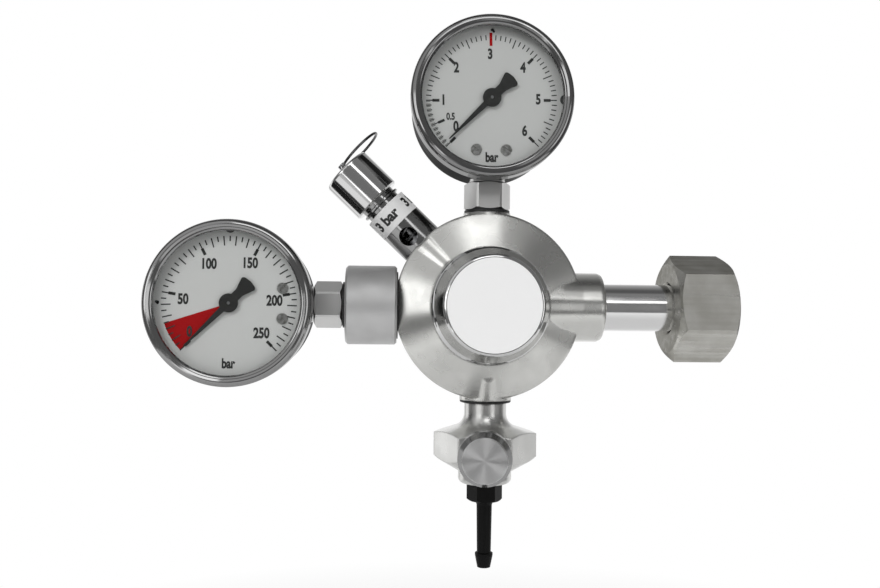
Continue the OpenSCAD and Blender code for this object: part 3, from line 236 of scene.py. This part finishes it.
def make_floor():
    """A pale floor that keeps the shadow under the part and fades into the white surround."""
    centre = Vector((BODY_CENTRE.x, 0, cad_box[0][2] - FLOOR_DROP))
    mesh = bpy.data.meshes.new("floor")
    shape = bmesh.new()
    bmesh.ops.create_grid(shape, x_segments=1, y_segments=1, size=FLOOR_SIZE / 2,
                          matrix=Matrix.Translation(centre))
    shape.to_mesh(mesh)
    shape.free()
    floor = bpy.data.objects.new("floor", mesh)
    bpy.context.scene.collection.objects.link(floor)
    material, tree = new_material("pale_floor")
    place = add(tree, "TexCoord").outputs["Object"]
    distance = add(tree, "VectorMath", {0: place, 1: centre}, operation="DISTANCE").outputs["Value"]
    fade = add(tree, "MapRange", {"Value": distance, "From Min": FADE_START, "From Max": FADE_END}).outputs[0]
    ray = add(tree, "LightPath").outputs
    seen = add(tree, "Math", {0: ray["Is Camera Ray"], 1: ray["Is Glossy Ray"]},
               operation="MAXIMUM").outputs[0]
    seen = add(tree, "Math", {0: seen, 1: ray["Is Transmission Ray"]}, operation="MAXIMUM").outputs[0]
    white = add(tree, "Math", {0: fade, 1: seen}, operation="MULTIPLY").outputs[0]
    matt = add(tree, "BsdfDiffuse", {"Color": linear("#f4f4f4")}).outputs[0]
    glow = add(tree, "Emission", {"Color": (1, 1, 1, 1), "Strength": 1.0}).outputs[0]
    finish_material(tree, add(tree, "MixShader", {0: white, 1: matt, 2: glow}).outputs[0])
    mesh.materials.append(material)


make_world()
make_lamps()
make_floor()


# Finishes
PORT_BOSSES = [
    # axis and radius of each boss that is turned about its own port
    (AXIS_X, 12.3 * MM),
    (-AXIS_Z, 8.9 * MM),
    (RELIEF_AXIS, 8.4 * MM),
    (AXIS_Z, 8.2 * MM),
    (-AXIS_X, 8.2 * MM),
]


def turned_grain(tree, centre, axis, groove, bosses=()):
    """Height of fine tool marks round an axis, and the direction across them.

    groove is their spacing in metres, drawn wider than on real metal, where it is too fine to show.
    """
    place = add(tree, "TexCoord").outputs["Object"]
    spoke = add(tree, "VectorMath", {0: place, 1: centre}, operation="SUBTRACT").outputs[0]
    for port, radius in bosses:
        side = add(tree, "VectorMath", {0: spoke, 1: port}, operation="CROSS_PRODUCT").outputs[0]
        off = add(tree, "VectorMath", {0: side}, operation="LENGTH").outputs["Value"]
        out = add(tree, "VectorMath", {0: spoke, 1: port}, operation="DOT_PRODUCT").outputs["Value"]
        near = add(tree, "Math", {0: off, 1: radius}, operation="LESS_THAN").outputs[0]
        beyond = add(tree, "Math", {0: out, 1: 0.0}, operation="GREATER_THAN").outputs[0]
        on_boss = add(tree, "Math", {0: near, 1: beyond}, operation="MULTIPLY").outputs[0]
        axis = add(tree, "Mix", {"Factor": on_boss, "A": axis, "B": port},
                   data_type="VECTOR").outputs["Result"]
    along = add(tree, "VectorMath", {0: spoke, 1: axis}, operation="DOT_PRODUCT").outputs["Value"]
    reach = add(tree, "VectorMath", {0: spoke}, operation="LENGTH").outputs["Value"]
    seed = add(tree, "CombineXYZ", {"X": along, "Y": reach}).outputs[0]
    marks = add(tree, "TexNoise", {"Vector": seed, "Scale": 1 / groove, "Detail": 2.0}).outputs["Fac"]
    groove_way = add(tree, "VectorMath", {0: axis, 1: spoke}, operation="CROSS_PRODUCT").outputs[0]
    normal = add(tree, "NewGeometry").outputs["Normal"]
    across = add(tree, "VectorMath", {0: normal, 1: groove_way}, operation="CROSS_PRODUCT").outputs[0]
    return marks, add(tree, "VectorMath", {0: across}, operation="NORMALIZE").outputs[0]


# A polished face: the width of its soft edge, and its share of the gloss value and colour around it. The darker
# colour is painted shade that stands for a dark reflection.
POLISH_BLEND, POLISH_AND_SHADE_SHARE = 0.2 * MM, 0.4


def plated_metal(name, color, roughness, centre=BODY_CENTRE, axis=AXIS_Y, groove=0.25 * MM,
                 depth=0.002 * MM, anisotropy=0.0, stain=0.04, soften=0.0, bosses=(), blotch=9 * MM,
                 slant=1.0, polish_and_shade_from=None):
    """Nickel or chrome plate on turned brass: tool marks, faint stains and slightly uneven gloss.

    slant darkens what it mirrors at a slant. Past the radius given, the surface is polished, and its colour there
    is darkened as painted shade for a dark reflection.
    """
    material, tree = new_material(name)
    marks, across = turned_grain(tree, centre, axis, groove, bosses)
    place = add(tree, "TexCoord").outputs["Object"]
    cloud = add(tree, "TexNoise", {"Vector": place, "Scale": 1 / blotch, "Detail": 2.0}).outputs["Fac"]
    stained = add(tree, "MapRange", {"Value": cloud, "From Min": 0.25, "From Max": 0.75}).outputs[0]
    tone = [1 - stain, 1 - stain * 1.01, 1 - stain * 1.04, 1]
    base = add(tree, "Mix", {"Factor": stained, "A": linear(color),
                             "B": [c * t for c, t in zip(linear(color), tone)]},
               data_type="RGBA").outputs["Result"]
    uneven = add(tree, "MapRange", {"Value": cloud, "From Min": 0.3, "From Max": 0.7,
                                    "To Min": roughness * 0.85, "To Max": roughness * 1.2}).outputs[0]
    if polish_and_shade_from:
        spoke = add(tree, "VectorMath", {0: place, 1: centre}, operation="SUBTRACT").outputs[0]
        side = add(tree, "VectorMath", {0: spoke, 1: axis}, operation="CROSS_PRODUCT").outputs[0]
        off = add(tree, "VectorMath", {0: side}, operation="LENGTH").outputs["Value"]
        polish_and_shade = add(tree, "MapRange", {"Value": off, "From Min": polish_and_shade_from,
                                        "From Max": polish_and_shade_from + POLISH_BLEND,
                                        "To Min": 1.0, "To Max": POLISH_AND_SHADE_SHARE}).outputs[0]
        uneven = add(tree, "Math", {0: uneven, 1: polish_and_shade}, operation="MULTIPLY").outputs[0]
        # Painted shade: past that radius the colour is darkened to stand for a dark reflection
        base = add(tree, "VectorMath", {0: base, "Scale": polish_and_shade}, operation="SCALE").outputs[0]
    bump = add(tree, "Bump", {"Height": marks, "Distance": depth, "Strength": 1.0})
    if soften:
        rounded = add(tree, "Bevel", {"Radius": soften}, samples=6).outputs[0]
        tree.links.new(rounded, bump.inputs["Normal"])
    shader = add(tree, "BsdfPrincipled", {"Base Color": base, "Metallic": 1.0, "Roughness": uneven,
                                          "Normal": bump.outputs[0], "Anisotropic": anisotropy,
                                          "Specular Tint": (slant, slant, slant, 1)})
    if anisotropy:
        tree.links.new(across, shader.inputs["Tangent"])
    finish_material(tree, shader.outputs[0])
    return material


# Drawn bar: how far its streaks are stretched along it, their depth, and the size of its stains
STREAK_STRETCH, STREAK_DEPTH, STAIN_SIZE = 0.03, 0.004 * MM, 7 * MM


def drawn_bar(name, color, roughness, streak, stain, slant=0.2):
    """Nickel plate on drawn hexagon bar along X: long streaks down the flats under a matt, stained plate.

    slant darkens what it mirrors at a slant.
    """
    material, tree = new_material(name)
    place = add(tree, "TexCoord").outputs["Object"]
    along = add(tree, "Mapping", {"Vector": place, "Scale": (STREAK_STRETCH, 1, 1)}).outputs[0]
    lines = add(tree, "TexNoise", {"Vector": along, "Scale": 1 / streak, "Detail": 3.0}).outputs["Fac"]
    cloud = add(tree, "TexNoise", {"Vector": place, "Scale": 1 / STAIN_SIZE, "Detail": 4.0}).outputs["Fac"]
    level = add(tree, "Math", {0: lines, 1: cloud}, operation="ADD").outputs[0]
    level = add(tree, "MapRange", {"Value": level, "From Min": 0.8, "From Max": 1.2}).outputs[0]
    worn = [c * (1 - stain * share) for c, share in zip(linear(color), (1, 1.02, 1.1))] + [1]
    base = add(tree, "Mix", {"Factor": level, "A": worn, "B": linear(color)},
               data_type="RGBA").outputs["Result"]
    gloss = add(tree, "MapRange", {"Value": lines, "From Min": 0.3, "From Max": 0.7,
                                   "To Min": roughness * 1.3, "To Max": roughness * 0.8}).outputs[0]
    bump = add(tree, "Bump", {"Height": lines, "Distance": STREAK_DEPTH, "Strength": 1.0}).outputs[0]
    shader = add(tree, "BsdfPrincipled", {"Base Color": base, "Metallic": 1.0, "Roughness": gloss,
                                          "Normal": bump, "Specular Tint": (slant, slant, slant, 1)})
    finish_material(tree, shader.outputs[0])
    return material


COLOUR_DRIFT = 12 * MM


def plain_finish(name, color, roughness, grain=0.4 * MM, depth=0.01 * MM, spread=0.06, specular=0.5):
    """Enamel, moulded plastic, rubber or print: a surface grain and a slight drift of colour.

    grain is drawn coarser than the real one, which is too fine to show.
    """
    material, tree = new_material(name)
    place = add(tree, "TexCoord").outputs["Object"]
    fine = add(tree, "TexNoise", {"Vector": place, "Scale": 1 / grain, "Detail": 3.0}).outputs["Fac"]
    broad = add(tree, "TexNoise", {"Vector": place, "Scale": 1 / COLOUR_DRIFT, "Detail": 2.0}).outputs["Fac"]
    darker = [c * (1 - spread) for c in linear(color)[:3]] + [1]
    base = add(tree, "Mix", {"Factor": broad, "A": linear(color), "B": darker},
               data_type="RGBA").outputs["Result"]
    bump = add(tree, "Bump", {"Height": fine, "Distance": depth, "Strength": 0.6}).outputs[0]
    shader = add(tree, "BsdfPrincipled", {"Base Color": base, "Roughness": roughness, "Normal": bump,
                                          "Specular IOR Level": specular})
    finish_material(tree, shader.outputs[0])
    return material


def window_glass():
    """Clear flat glass: it lets the dial through and mirrors a little more at a slant."""
    material, tree = new_material("float_glass")
    gloss = add(tree, "Fresnel", {"IOR": 1.3}).outputs[0]
    gloss = add(tree, "Math", {0: gloss, 1: 0.5}, operation="MULTIPLY").outputs[0]
    clear = add(tree, "BsdfTransparent", {"Color": (0.985, 0.99, 0.985, 1)}).outputs[0]
    mirror = add(tree, "BsdfGlossy", {"Roughness": 0.02}).outputs[0]
    finish_material(tree, add(tree, "MixShader", {0: gloss, 1: clear, 2: mirror}).outputs[0])
    return material


def gauge_nodes(*names):
    return [f"{gauge}_gauge_{name}" for gauge in ("outlet", "cylinder") for name in names]


def paint(material, *names):
    for name in names:
        mesh = NODES[name].data
        mesh.materials.clear()
        mesh.materials.append(material)


KNOB_FACE_R = 7.1 * MM


def paint_all():
    # Nickel plate on a turned brass forging: soft streaks of light that run across the tool marks
    paint(plated_metal("turned_nickel_plate", "#d6d6d3", 0.26, anisotropy=0.85, groove=0.4 * MM,
                       soften=1.0 * MM, stain=0.1, bosses=PORT_BOSSES), "regulator_body", "rear_plug")
    # Polished chrome on a domed ring: hard light and dark lines that follow the rings
    paint(plated_metal("bright_chrome_bonnet", "#d0d0d0", 0.07, groove=0.9 * MM, depth=0.006 * MM),
          "spring_bonnet")
    # Painted shade: the outlet gauge's bezel and dial colours are a little darker than the cylinder gauge's,
    # standing for the shade that falls on the outlet gauge
    for gauge, centre, tone, enamel in (("outlet", OUTLET_GAUGE, "#8a8a8a", "#c2c2c2"),
                                        ("cylinder", CYLINDER_GAUGE, "#989898", "#c9c9c9")):
        # Chromed steel pressings: a bright bezel before a darker drawn case
        bezel = plated_metal(f"chromed_bezel_{gauge}", tone, 0.1, centre, AXIS_Y, 0.6 * MM, 0.001 * MM,
                             slant=0.6)
        case = plated_metal(f"darkened_case_{gauge}", "#505050", 0.32, centre, AXIS_Y, 0.4 * MM, 0.001 * MM,
                            slant=0.25)
        # Stoved enamel: an even cool light grey, painted a little darker on the outlet gauge as painted shade
        paint(plain_finish(f"dial_enamel_{gauge}", enamel, 0.5, 0.3 * MM, 0.002 * MM, 0.03, 0.3),
              f"{gauge}_gauge_dial")
        paint(bezel, f"{gauge}_gauge_bezel")
        paint(case, f"{gauge}_gauge_case")
    # Turned and plated tube: narrow bright lines along it
    paint(plated_metal("turned_stem", "#e2e2e2", 0.14, Vector(), AXIS_X, anisotropy=0.5), "inlet_stem")
    # Matt plate on drawn bar: a warm grey with dull streaks along the flats
    paint(drawn_bar("drawn_nickel_nut", "#cdccc7", 0.3, 2.6 * MM, 0.24), "union_nut")
    # Turned brass under nickel: vertical lines of light down the neck, pale flats
    paint(plated_metal("turned_nickel_valve", "#d2d2d0", 0.3, BODY_CENTRE, AXIS_Z, 0.3 * MM, 0.001 * MM, 0.85,
                       0.06, 0.8 * MM), "needle_valve_body", "needle_gland")
    # Faced aluminium: rings so fine that the light fans out from the middle. The polished bevel past the face is
    # painted darker, as painted shade for its dark reflection.
    paint(plated_metal("faced_knob", "#cccccc", 0.4, NEEDLE_PLACE, NEEDLE_AXIS, 0.3 * MM, 0.006 * MM, 0.97,
                       polish_and_shade_from=KNOB_FACE_R),
          "needle_knob")
    # Chromed turnings: near-mirror cylinders with sharp white and black stripes
    paint(plated_metal("dark_chrome_relief", "#9c9c9c", 0.14, BODY_CENTRE, RELIEF_AXIS, 0.5 * MM,
                       0.0005 * MM, 0.5), "relief_body")
    paint(plated_metal("bright_chrome_cap", "#d8d8d8", 0.1, BODY_CENTRE, RELIEF_AXIS, 0.5 * MM,
                       0.0005 * MM, 0.5), "relief_cap")
    # Plated hexagons of the gauge stems: plain flats, a little duller than the chrome
    paint(plated_metal("nickel_socket_outlet", "#dadad9", 0.36, OUTLET_GAUGE, AXIS_Z, anisotropy=0.5),
          "outlet_gauge_socket")
    paint(plated_metal("nickel_socket_cylinder", "#dadad9", 0.36, CYLINDER_GAUGE, AXIS_X, anisotropy=0.5),
          "cylinder_gauge_socket")
    # Bead-blasted nickel: an even grey without clear reflections
    paint(plated_metal("blasted_nickel_adapter", "#d2d2d2", 0.56, CYLINDER_GAUGE, AXIS_X, 0.3 * MM,
                       0.002 * MM, stain=0.03), "gauge_adapter")
    # Free-cutting brass as it left the lathe: yellow and bright, inside only
    paint(plated_metal("machined_brass", "#c9a45c", 0.28, stain=0.12), "adjusting_screw", "spring_button",
          "diaphragm_plate", "valve_seat", "poppet",
          *gauge_nodes("movement_frame", "link", "sector_gear", "pinion"))
    # Phosphor bronze strip and wire: a browner, softer shine
    paint(plated_metal("drawn_bronze", "#b07f49", 0.34, stain=0.15), "inlet_filter",
          *gauge_nodes("bourdon_tube", "hairspring"))
    # Stainless wire and pins: cool grey with a satin line of light
    paint(plated_metal("drawn_stainless_wire", "#9c9d9f", 0.3), "range_spring", "poppet_spring",
          "relief_spring", "relief_stem", "needle_spindle")
    # Zinc plate: pale, crystalline and blotched
    paint(plated_metal("zinc_plated_screws", "#b8b8b8", 0.4, stain=0.65, blotch=1.1 * MM), "dial_screws")
    # Oil-blackened spring wire: dark with a thin glint
    paint(plated_metal("dark_wire", "#5f5f60", 0.25), "pull_ring")
    # Nitrile rubber: nearly black and half matt
    paint(plain_finish("nitrile_rubber", "#161616", 0.5), "diaphragm", "rear_plug_seal", "adapter_seal",
          "outlet_seal", "spindle_seal", *gauge_nodes("seal"))
    # Turned sealing plastic: dark grey with a waxy sheen
    paint(plain_finish("sealing_plastic", "#4a4a4c", 0.45), "inlet_washer")
    # Moulded nylon: black with a weak, even sheen
    paint(plain_finish("moulded_nylon", "#0b0b0b", 0.5, 0.5 * MM, specular=0.12), "hose_barb")
    # Vinyl label film: smooth off-white
    paint(plain_finish("label_film", "#ececec", 0.4, 0.6 * MM, 0.003 * MM, 0.02, 0.3), "label_disc")
    # Printed polyester band: light grey and smooth
    paint(plain_finish("printed_band", "#d8d8d8", 0.45, 0.5 * MM, 0.003 * MM, 0.04), "relief_band")
    # Black lacquer on the pointers: dark and half matt
    paint(plain_finish("pointer_enamel", "#191919", 0.5, 0.3 * MM, 0.004 * MM), *gauge_nodes("pointer"))
    paint(window_glass(), *gauge_nodes("window"))


paint_all()
BLACK_PRINT = plain_finish("black_print", "#242424", 0.5, 0.3 * MM, 0.001 * MM)
GREY_PRINT = plain_finish("grey_print", "#4a4a4a", 0.5, 0.3 * MM, 0.001 * MM)
RED_PRINT = plain_finish("red_print", "#a20e12", 0.6, 0.3 * MM, 0.001 * MM, specular=0.1)


# Pieces
WELD_DISTANCE = 0.0005 * MM


def make_piece(name, shape, material, body):
    """Turns a bmesh in row coordinates into a piece that rides on a body."""
    bmesh.ops.remove_doubles(shape, verts=shape.verts, dist=WELD_DISTANCE)
    bmesh.ops.recalc_face_normals(shape, faces=shape.faces)
    mesh = bpy.data.meshes.new(name)
    shape.to_mesh(mesh)
    shape.free()
    mesh.materials.append(material)
    piece = bpy.data.objects.new(name, mesh)
    bpy.context.scene.collection.objects.link(piece)
    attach(piece, body)
    return piece


PRINT_THICK = 0.05 * MM
CAPITAL_SHARE = 0.73


def lettering(shape, words, height, place, stretch=0.74, weight=0.042):
    """Adds flat lettering to a bmesh, centred on a point of its own plane. height is that of a capital."""
    curve = bpy.data.curves.new("lettering", "FONT")
    curve.body = words
    curve.size = height / CAPITAL_SHARE
    curve.align_x = "CENTER"
    curve.align_y = "CENTER"
    curve.resolution_u = 4
    curve.offset = weight * curve.size
    curve.extrude = PRINT_THICK / 2
    text = bpy.data.objects.new("lettering", curve)
    bpy.context.scene.collection.objects.link(text)
    bpy.context.view_layer.update()
    mesh = bpy.data.meshes.new_from_object(text.evaluated_get(bpy.context.evaluated_depsgraph_get()))
    mesh.transform(Matrix.Translation(place) @ Matrix.Diagonal((stretch, 1, 1, 1)))
    shape.from_mesh(mesh)
    bpy.data.objects.remove(text)
    bpy.data.curves.remove(curve)
    bpy.data.meshes.remove(mesh)


# Radii and widths of the printed marks
TICK_OUTER = 21.6 * MM
TICK_INNER, LONG_TICK_INNER = 19.9 * MM, 18.5 * MM
TICK_WIDTH, NARROW_TICK_WIDTH = 0.42 * MM, 0.35 * MM
BAR_INNER, BAR_OUTER, BAR_WIDTH = 17.2 * MM, 19.5 * MM, 0.95 * MM


def mark(shape, angle, inner, outer, width):
    """Adds one straight mark of a scale, between two radii at an angle in degrees."""
    bmesh.ops.create_cube(shape, size=1, matrix=Matrix.Rotation(math.radians(angle), 4, "Z")
                          @ Matrix.Translation(((inner + outer) / 2, 0, 0))
                          @ Matrix.Diagonal((outer - inner, width, PRINT_THICK, 1)))


def disc(shape, place, radius, thick=PRINT_THICK, faces=24):
    bmesh.ops.create_cone(shape, cap_ends=True, segments=faces, radius1=radius, radius2=radius, depth=thick,
                          matrix=Matrix.Translation(place))


SECTOR_INNER, SECTOR_STEPS = 0.5 * MM, 14


def sector(shape, low, high, outer):
    """Adds a filled sector between two angles in degrees."""
    ends = [shape.verts.new((r, 0, -PRINT_THICK / 4)) for r in (SECTOR_INNER, outer)]
    edge = shape.edges.new(ends)
    bmesh.ops.rotate(shape, verts=ends, matrix=Matrix.Rotation(math.radians(low), 3, "Z"))
    bmesh.ops.spin(shape, geom=ends + [edge], cent=(0, 0, 0), axis=(0, 0, 1), angle=math.radians(high - low),
                   steps=SECTOR_STEPS)
    raised = bmesh.ops.extrude_face_region(shape, geom=list(shape.faces))["geom"]
    bmesh.ops.translate(shape, vec=(0, 0, PRINT_THICK / 2),
                        verts=[v for v in raised if isinstance(v, bmesh.types.BMVert)])


def dial_place(gauge, centre, drop=0.0, turn=0.0):
    """From a print's own plane, seen from the front, to the face of a gauge's dial."""
    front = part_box(f"{gauge}_gauge_dial")[0].y
    return (Matrix.Translation((centre.x, front - PRINT_THICK * 0.4, centre.z - drop)) @ TO_FRONT
            @ Matrix.Rotation(math.radians(turn), 4, "Z"))


ZERO_ANGLE, SWEEP = 225, 270
NUMBER_H = 3.35 * MM


def scale_marks(shape, full, fine, coarse, bars, width=TICK_WIDTH):
    """Thin marks at every fine step, longer ones at every coarse step and short thick bars inside them."""
    for i in range(round(full / fine) + 1):
        value = i * fine
        long_mark = abs(value / coarse - round(value / coarse)) < 1e-6
        inner = LONG_TICK_INNER if long_mark else TICK_INNER
        mark(shape, ZERO_ANGLE - SWEEP * value / full, inner, TICK_OUTER, width)
    for value in bars:
        mark(shape, ZERO_ANGLE - SWEEP * value / full, BAR_INNER, BAR_OUTER, BAR_WIDTH)


# Figures of each dial, with their places across and up from its middle in millimetres
CYLINDER_FIGURES = [("50", -14.6, 1.0), ("100", -6.7, 12.4), ("150", 6.4, 12.8), ("200", 14.4, 0.8),
                    ("250", 10.4, -9.7), ("0", -12.4, -9.4)]
OUTLET_FIGURES = [("0", -11.9, -8.7), ("1", -15.9, 0), ("2", -11.5, 10.7), ("3", -0.3, 15.2),
                  ("4", 10.5, 10.7), ("5", 15.4, 0.2), ("6", 10.7, -10.2)]
# The unit under the figures, and a printed dot near the rim
UNIT_H, UNIT_STRETCH = NUMBER_H * 0.95, 0.72
CYLINDER_UNIT, OUTLET_UNIT = (0, -19.5 * MM, 0), (-0.3 * MM, -18.9 * MM, 0)
CYLINDER_DOT, CYLINDER_DOT_R = (-23 * MM, 0.2 * MM, 0), 0.45 * MM
OUTLET_DOT, OUTLET_DOT_R = (1.0 * MM, 22.8 * MM, 0), 0.4 * MM
RED_FIELD_R = 21.5 * MM


def cylinder_dial():
    """Scale from 0 to 250 bar with a red field at the empty end."""
    place = dial_place("cylinder", CYLINDER_GAUGE)
    ink = bmesh.new()
    scale_marks(ink, 250, 5, 10, (0, 50, 100, 150, 200, 250))
    for words, x, z in CYLINDER_FIGURES:
        lettering(ink, words, NUMBER_H, (x * MM, z * MM, 0))
    lettering(ink, "bar", UNIT_H, CYLINDER_UNIT, UNIT_STRETCH)
    disc(ink, CYLINDER_DOT, CYLINDER_DOT_R)
    bmesh.ops.transform(ink, matrix=place, verts=ink.verts)
    make_piece("cylinder_dial_print", ink, BLACK_PRINT, "root")
    red = bmesh.new()
    sector(red, ZERO_ANGLE - SWEEP / 10, ZERO_ANGLE, RED_FIELD_R)
    bmesh.ops.transform(red, matrix=place, verts=red.verts)
    make_piece("cylinder_dial_red_field", red, RED_PRINT, "root")


OUTLET_PRINT_DROP = 0.7 * MM
OUTLET_PRINT_TURN = 1.3
# Hairlines between the marks up to 1 bar: how many there are, and how many would fill the scale
HAIRLINES, HAIRLINES_FULL = 20, 120
HAIRLINE_INNER, HAIRLINE_WIDTH = 20.2 * MM, 0.17 * MM
# The bar and the small figure at half a bar
HALF_INNER, HALF_OUTER, HALF_WIDTH = 16.9 * MM, 19.2 * MM, 0.85 * MM
HALF_FIGURE_H, HALF_FIGURE_PLACE = NUMBER_H * 0.68, (-13.6 * MM, -5.4 * MM, 0)
RED_MARK_INNER, RED_MARK_OUTER, RED_MARK_WIDTH = 18.0 * MM, 22.4 * MM, 0.95 * MM


def outlet_dial():
    """Scale from 0 to 6 bar with a red mark at 3."""
    place = dial_place("outlet", OUTLET_GAUGE, OUTLET_PRINT_DROP, OUTLET_PRINT_TURN)
    ink = bmesh.new()
    scale_marks(ink, 6, 0.1, 0.5, (0, 1, 2, 4, 5, 6), NARROW_TICK_WIDTH)
    for i in range(HAIRLINES):
        mark(ink, ZERO_ANGLE - SWEEP * (i + 0.5) / HAIRLINES_FULL, HAIRLINE_INNER, TICK_OUTER, HAIRLINE_WIDTH)
    mark(ink, ZERO_ANGLE - SWEEP / 12, HALF_INNER, HALF_OUTER, HALF_WIDTH)
    for words, x, z in OUTLET_FIGURES:
        lettering(ink, words, NUMBER_H, (x * MM, z * MM, 0))
    lettering(ink, "0.5", HALF_FIGURE_H, HALF_FIGURE_PLACE)
    lettering(ink, "bar", UNIT_H, OUTLET_UNIT, UNIT_STRETCH)
    disc(ink, OUTLET_DOT, OUTLET_DOT_R)
    bmesh.ops.transform(ink, matrix=place, verts=ink.verts)
    make_piece("outlet_dial_print", ink, BLACK_PRINT, "root")
    red = bmesh.new()
    mark(red, 90, RED_MARK_INNER, RED_MARK_OUTER, RED_MARK_WIDTH)
    bmesh.ops.transform(red, matrix=place @ Matrix.Translation((0, 0, PRINT_THICK * 0.3)), verts=red.verts)
    make_piece("outlet_dial_red_mark", red, RED_PRINT, "root")


TAB_AT, TAB_R, TAB_THICK = 24.3 * MM, 1.7 * MM, 0.4 * MM


def dial_tab(gauge, centre, angle):
    """The small dark tab of the rim that keeps a dial from turning."""
    tab = bmesh.new()
    disc(tab, (TAB_AT, 0, 0), TAB_R, TAB_THICK, 32)
    bmesh.ops.rotate(tab, verts=tab.verts, matrix=Matrix.Rotation(math.radians(angle), 3, "Z"))
    bmesh.ops.transform(tab, matrix=dial_place(gauge, centre), verts=tab.verts)
    make_piece(f"{gauge}_dial_tab", tab, GREY_PRINT, "root")


PIN_R, PIN_TIP_R, PIN_LENGTH, PIN_SINK = 0.55 * MM, 0.4 * MM, 0.16 * MM, 0.06 * MM


def pointer_pin(gauge, centre):
    """The riveted end of the arbor in the pointer's hub."""
    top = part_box(f"{gauge}_gauge_pointer")[0].y
    pin = bmesh.new()
    bmesh.ops.create_cone(pin, cap_ends=True, segments=32, radius1=PIN_R, radius2=PIN_TIP_R, depth=PIN_LENGTH,
                          matrix=Matrix.Translation((centre.x, top - PIN_SINK, centre.z)) @ TO_FRONT)
    make_piece(f"{gauge}_pointer_pin", pin, bpy.data.materials["drawn_stainless_wire"], f"{gauge}_pointer")


cylinder_dial()
outlet_dial()
dial_tab("cylinder", CYLINDER_GAUGE, 90)
dial_tab("outlet", OUTLET_GAUGE, 0)
pointer_pin("cylinder", CYLINDER_GAUGE)
pointer_pin("outlet", OUTLET_GAUGE)


# Marking band of the relief valve
BAND_WORDS = "3 bar"
BAND_REPEATS = 3
BAND_PITCH = 13.6 * MM
BAND_LETTER_H = 3.5 * MM
BAND_STRETCH, BAND_WEIGHT = 0.97, 0.045
BAND_FIRST_WORD = math.radians(-25)
BAND_CUT = 0.5 * MM


def band_marking():
    """The opening pressure, printed round the band with the letters' tops towards the cap."""
    corners = [Vector(c) for c in NODES["relief_band"].bound_box]
    middle = sum(corners, Vector()) / len(corners)
    reach = (middle - BODY_CENTRE).dot(RELIEF_AXIS)
    radius = max(v.co.y for v in NODES["relief_band"].data.vertices)
    turn = 2 * math.pi * radius
    ink = bmesh.new()
    for i in range(BAND_REPEATS):
        centre = radius * BAND_FIRST_WORD + BAND_PITCH * i
        lettering(ink, BAND_WORDS, BAND_LETTER_H, (centre, 0, 0), BAND_STRETCH, BAND_WEIGHT)
    for i in range(round(turn / BAND_CUT)):
        bmesh.ops.bisect_plane(ink, geom=ink.verts[:] + ink.edges[:] + ink.faces[:],
                               plane_co=(BAND_CUT * i - turn / 4, 0, 0), plane_no=(1, 0, 0))
    side = RELIEF_AXIS.cross(AXIS_Y)
    for v in ink.verts:
        angle = v.co.x / radius
        out = -AXIS_Y * math.cos(angle) - side * math.sin(angle)
        v.co = BODY_CENTRE + RELIEF_AXIS * (reach + v.co.y) + out * (radius + v.co.z)
    make_piece("relief_band_print", ink, BLACK_PRINT, "root")


band_marking()


# Thread of the union nut
THREAD_PITCH = 25.4 / 14 * MM
THREAD_STEPS = 48
THREAD_BURIED, THREAD_HEIGHT = 0.1 * MM, 0.35 * MM
# The ridge's foot, crest and other foot across one pitch, as shares of it
RIDGE_SHARES = (0.15, 0.45, 0.55, 0.85)


def nut_thread():
    """The ridge of the cylinder thread, standing in from the nut's bore."""
    mount = next(m for m in frame["record"]["mounts"] if m["name"] == "union_thread")
    radius = mount["dims"]["r_mm"] * MM
    length = mount["dims"]["length_mm"] * MM
    start = mount["pos_m"][0] - length / 2
    turns = int(length / THREAD_PITCH) - 1
    ridge = bmesh.new()
    root, crest = radius + THREAD_BURIED, radius - THREAD_HEIGHT
    profile = [ridge.verts.new((start + x * THREAD_PITCH, 0, r))
               for x, r in zip(RIDGE_SHARES, (root, crest, crest, root))]
    face = ridge.faces.new(profile)
    bmesh.ops.spin(ridge, geom=[face], cent=(0, 0, 0), axis=(1, 0, 0),
                   dvec=(THREAD_PITCH / THREAD_STEPS, 0, 0), angle=2 * math.pi * turns,
                   steps=turns * THREAD_STEPS)
    make_piece("union_nut_thread", ridge, bpy.data.materials["drawn_nickel_nut"], "union_nut")


nut_thread()


# Springs copied into pieces of their own
def compressed_spring(name):
    """Copies a coil spring into a piece on the root and hides the part; the real spring shortens towards its fixed
    end as its joint moves along the axis.
    """
    coil = bmesh.new()
    coil.from_mesh(NODES[name].data)
    spring = make_piece(f"{name}_coil", coil, bpy.data.materials["drawn_stainless_wire"], "root")
    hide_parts(name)
    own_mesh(spring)


compressed_spring("relief_spring")
compressed_spring("poppet_spring")

bpy.context.scene.view_settings.view_transform = "Standard"
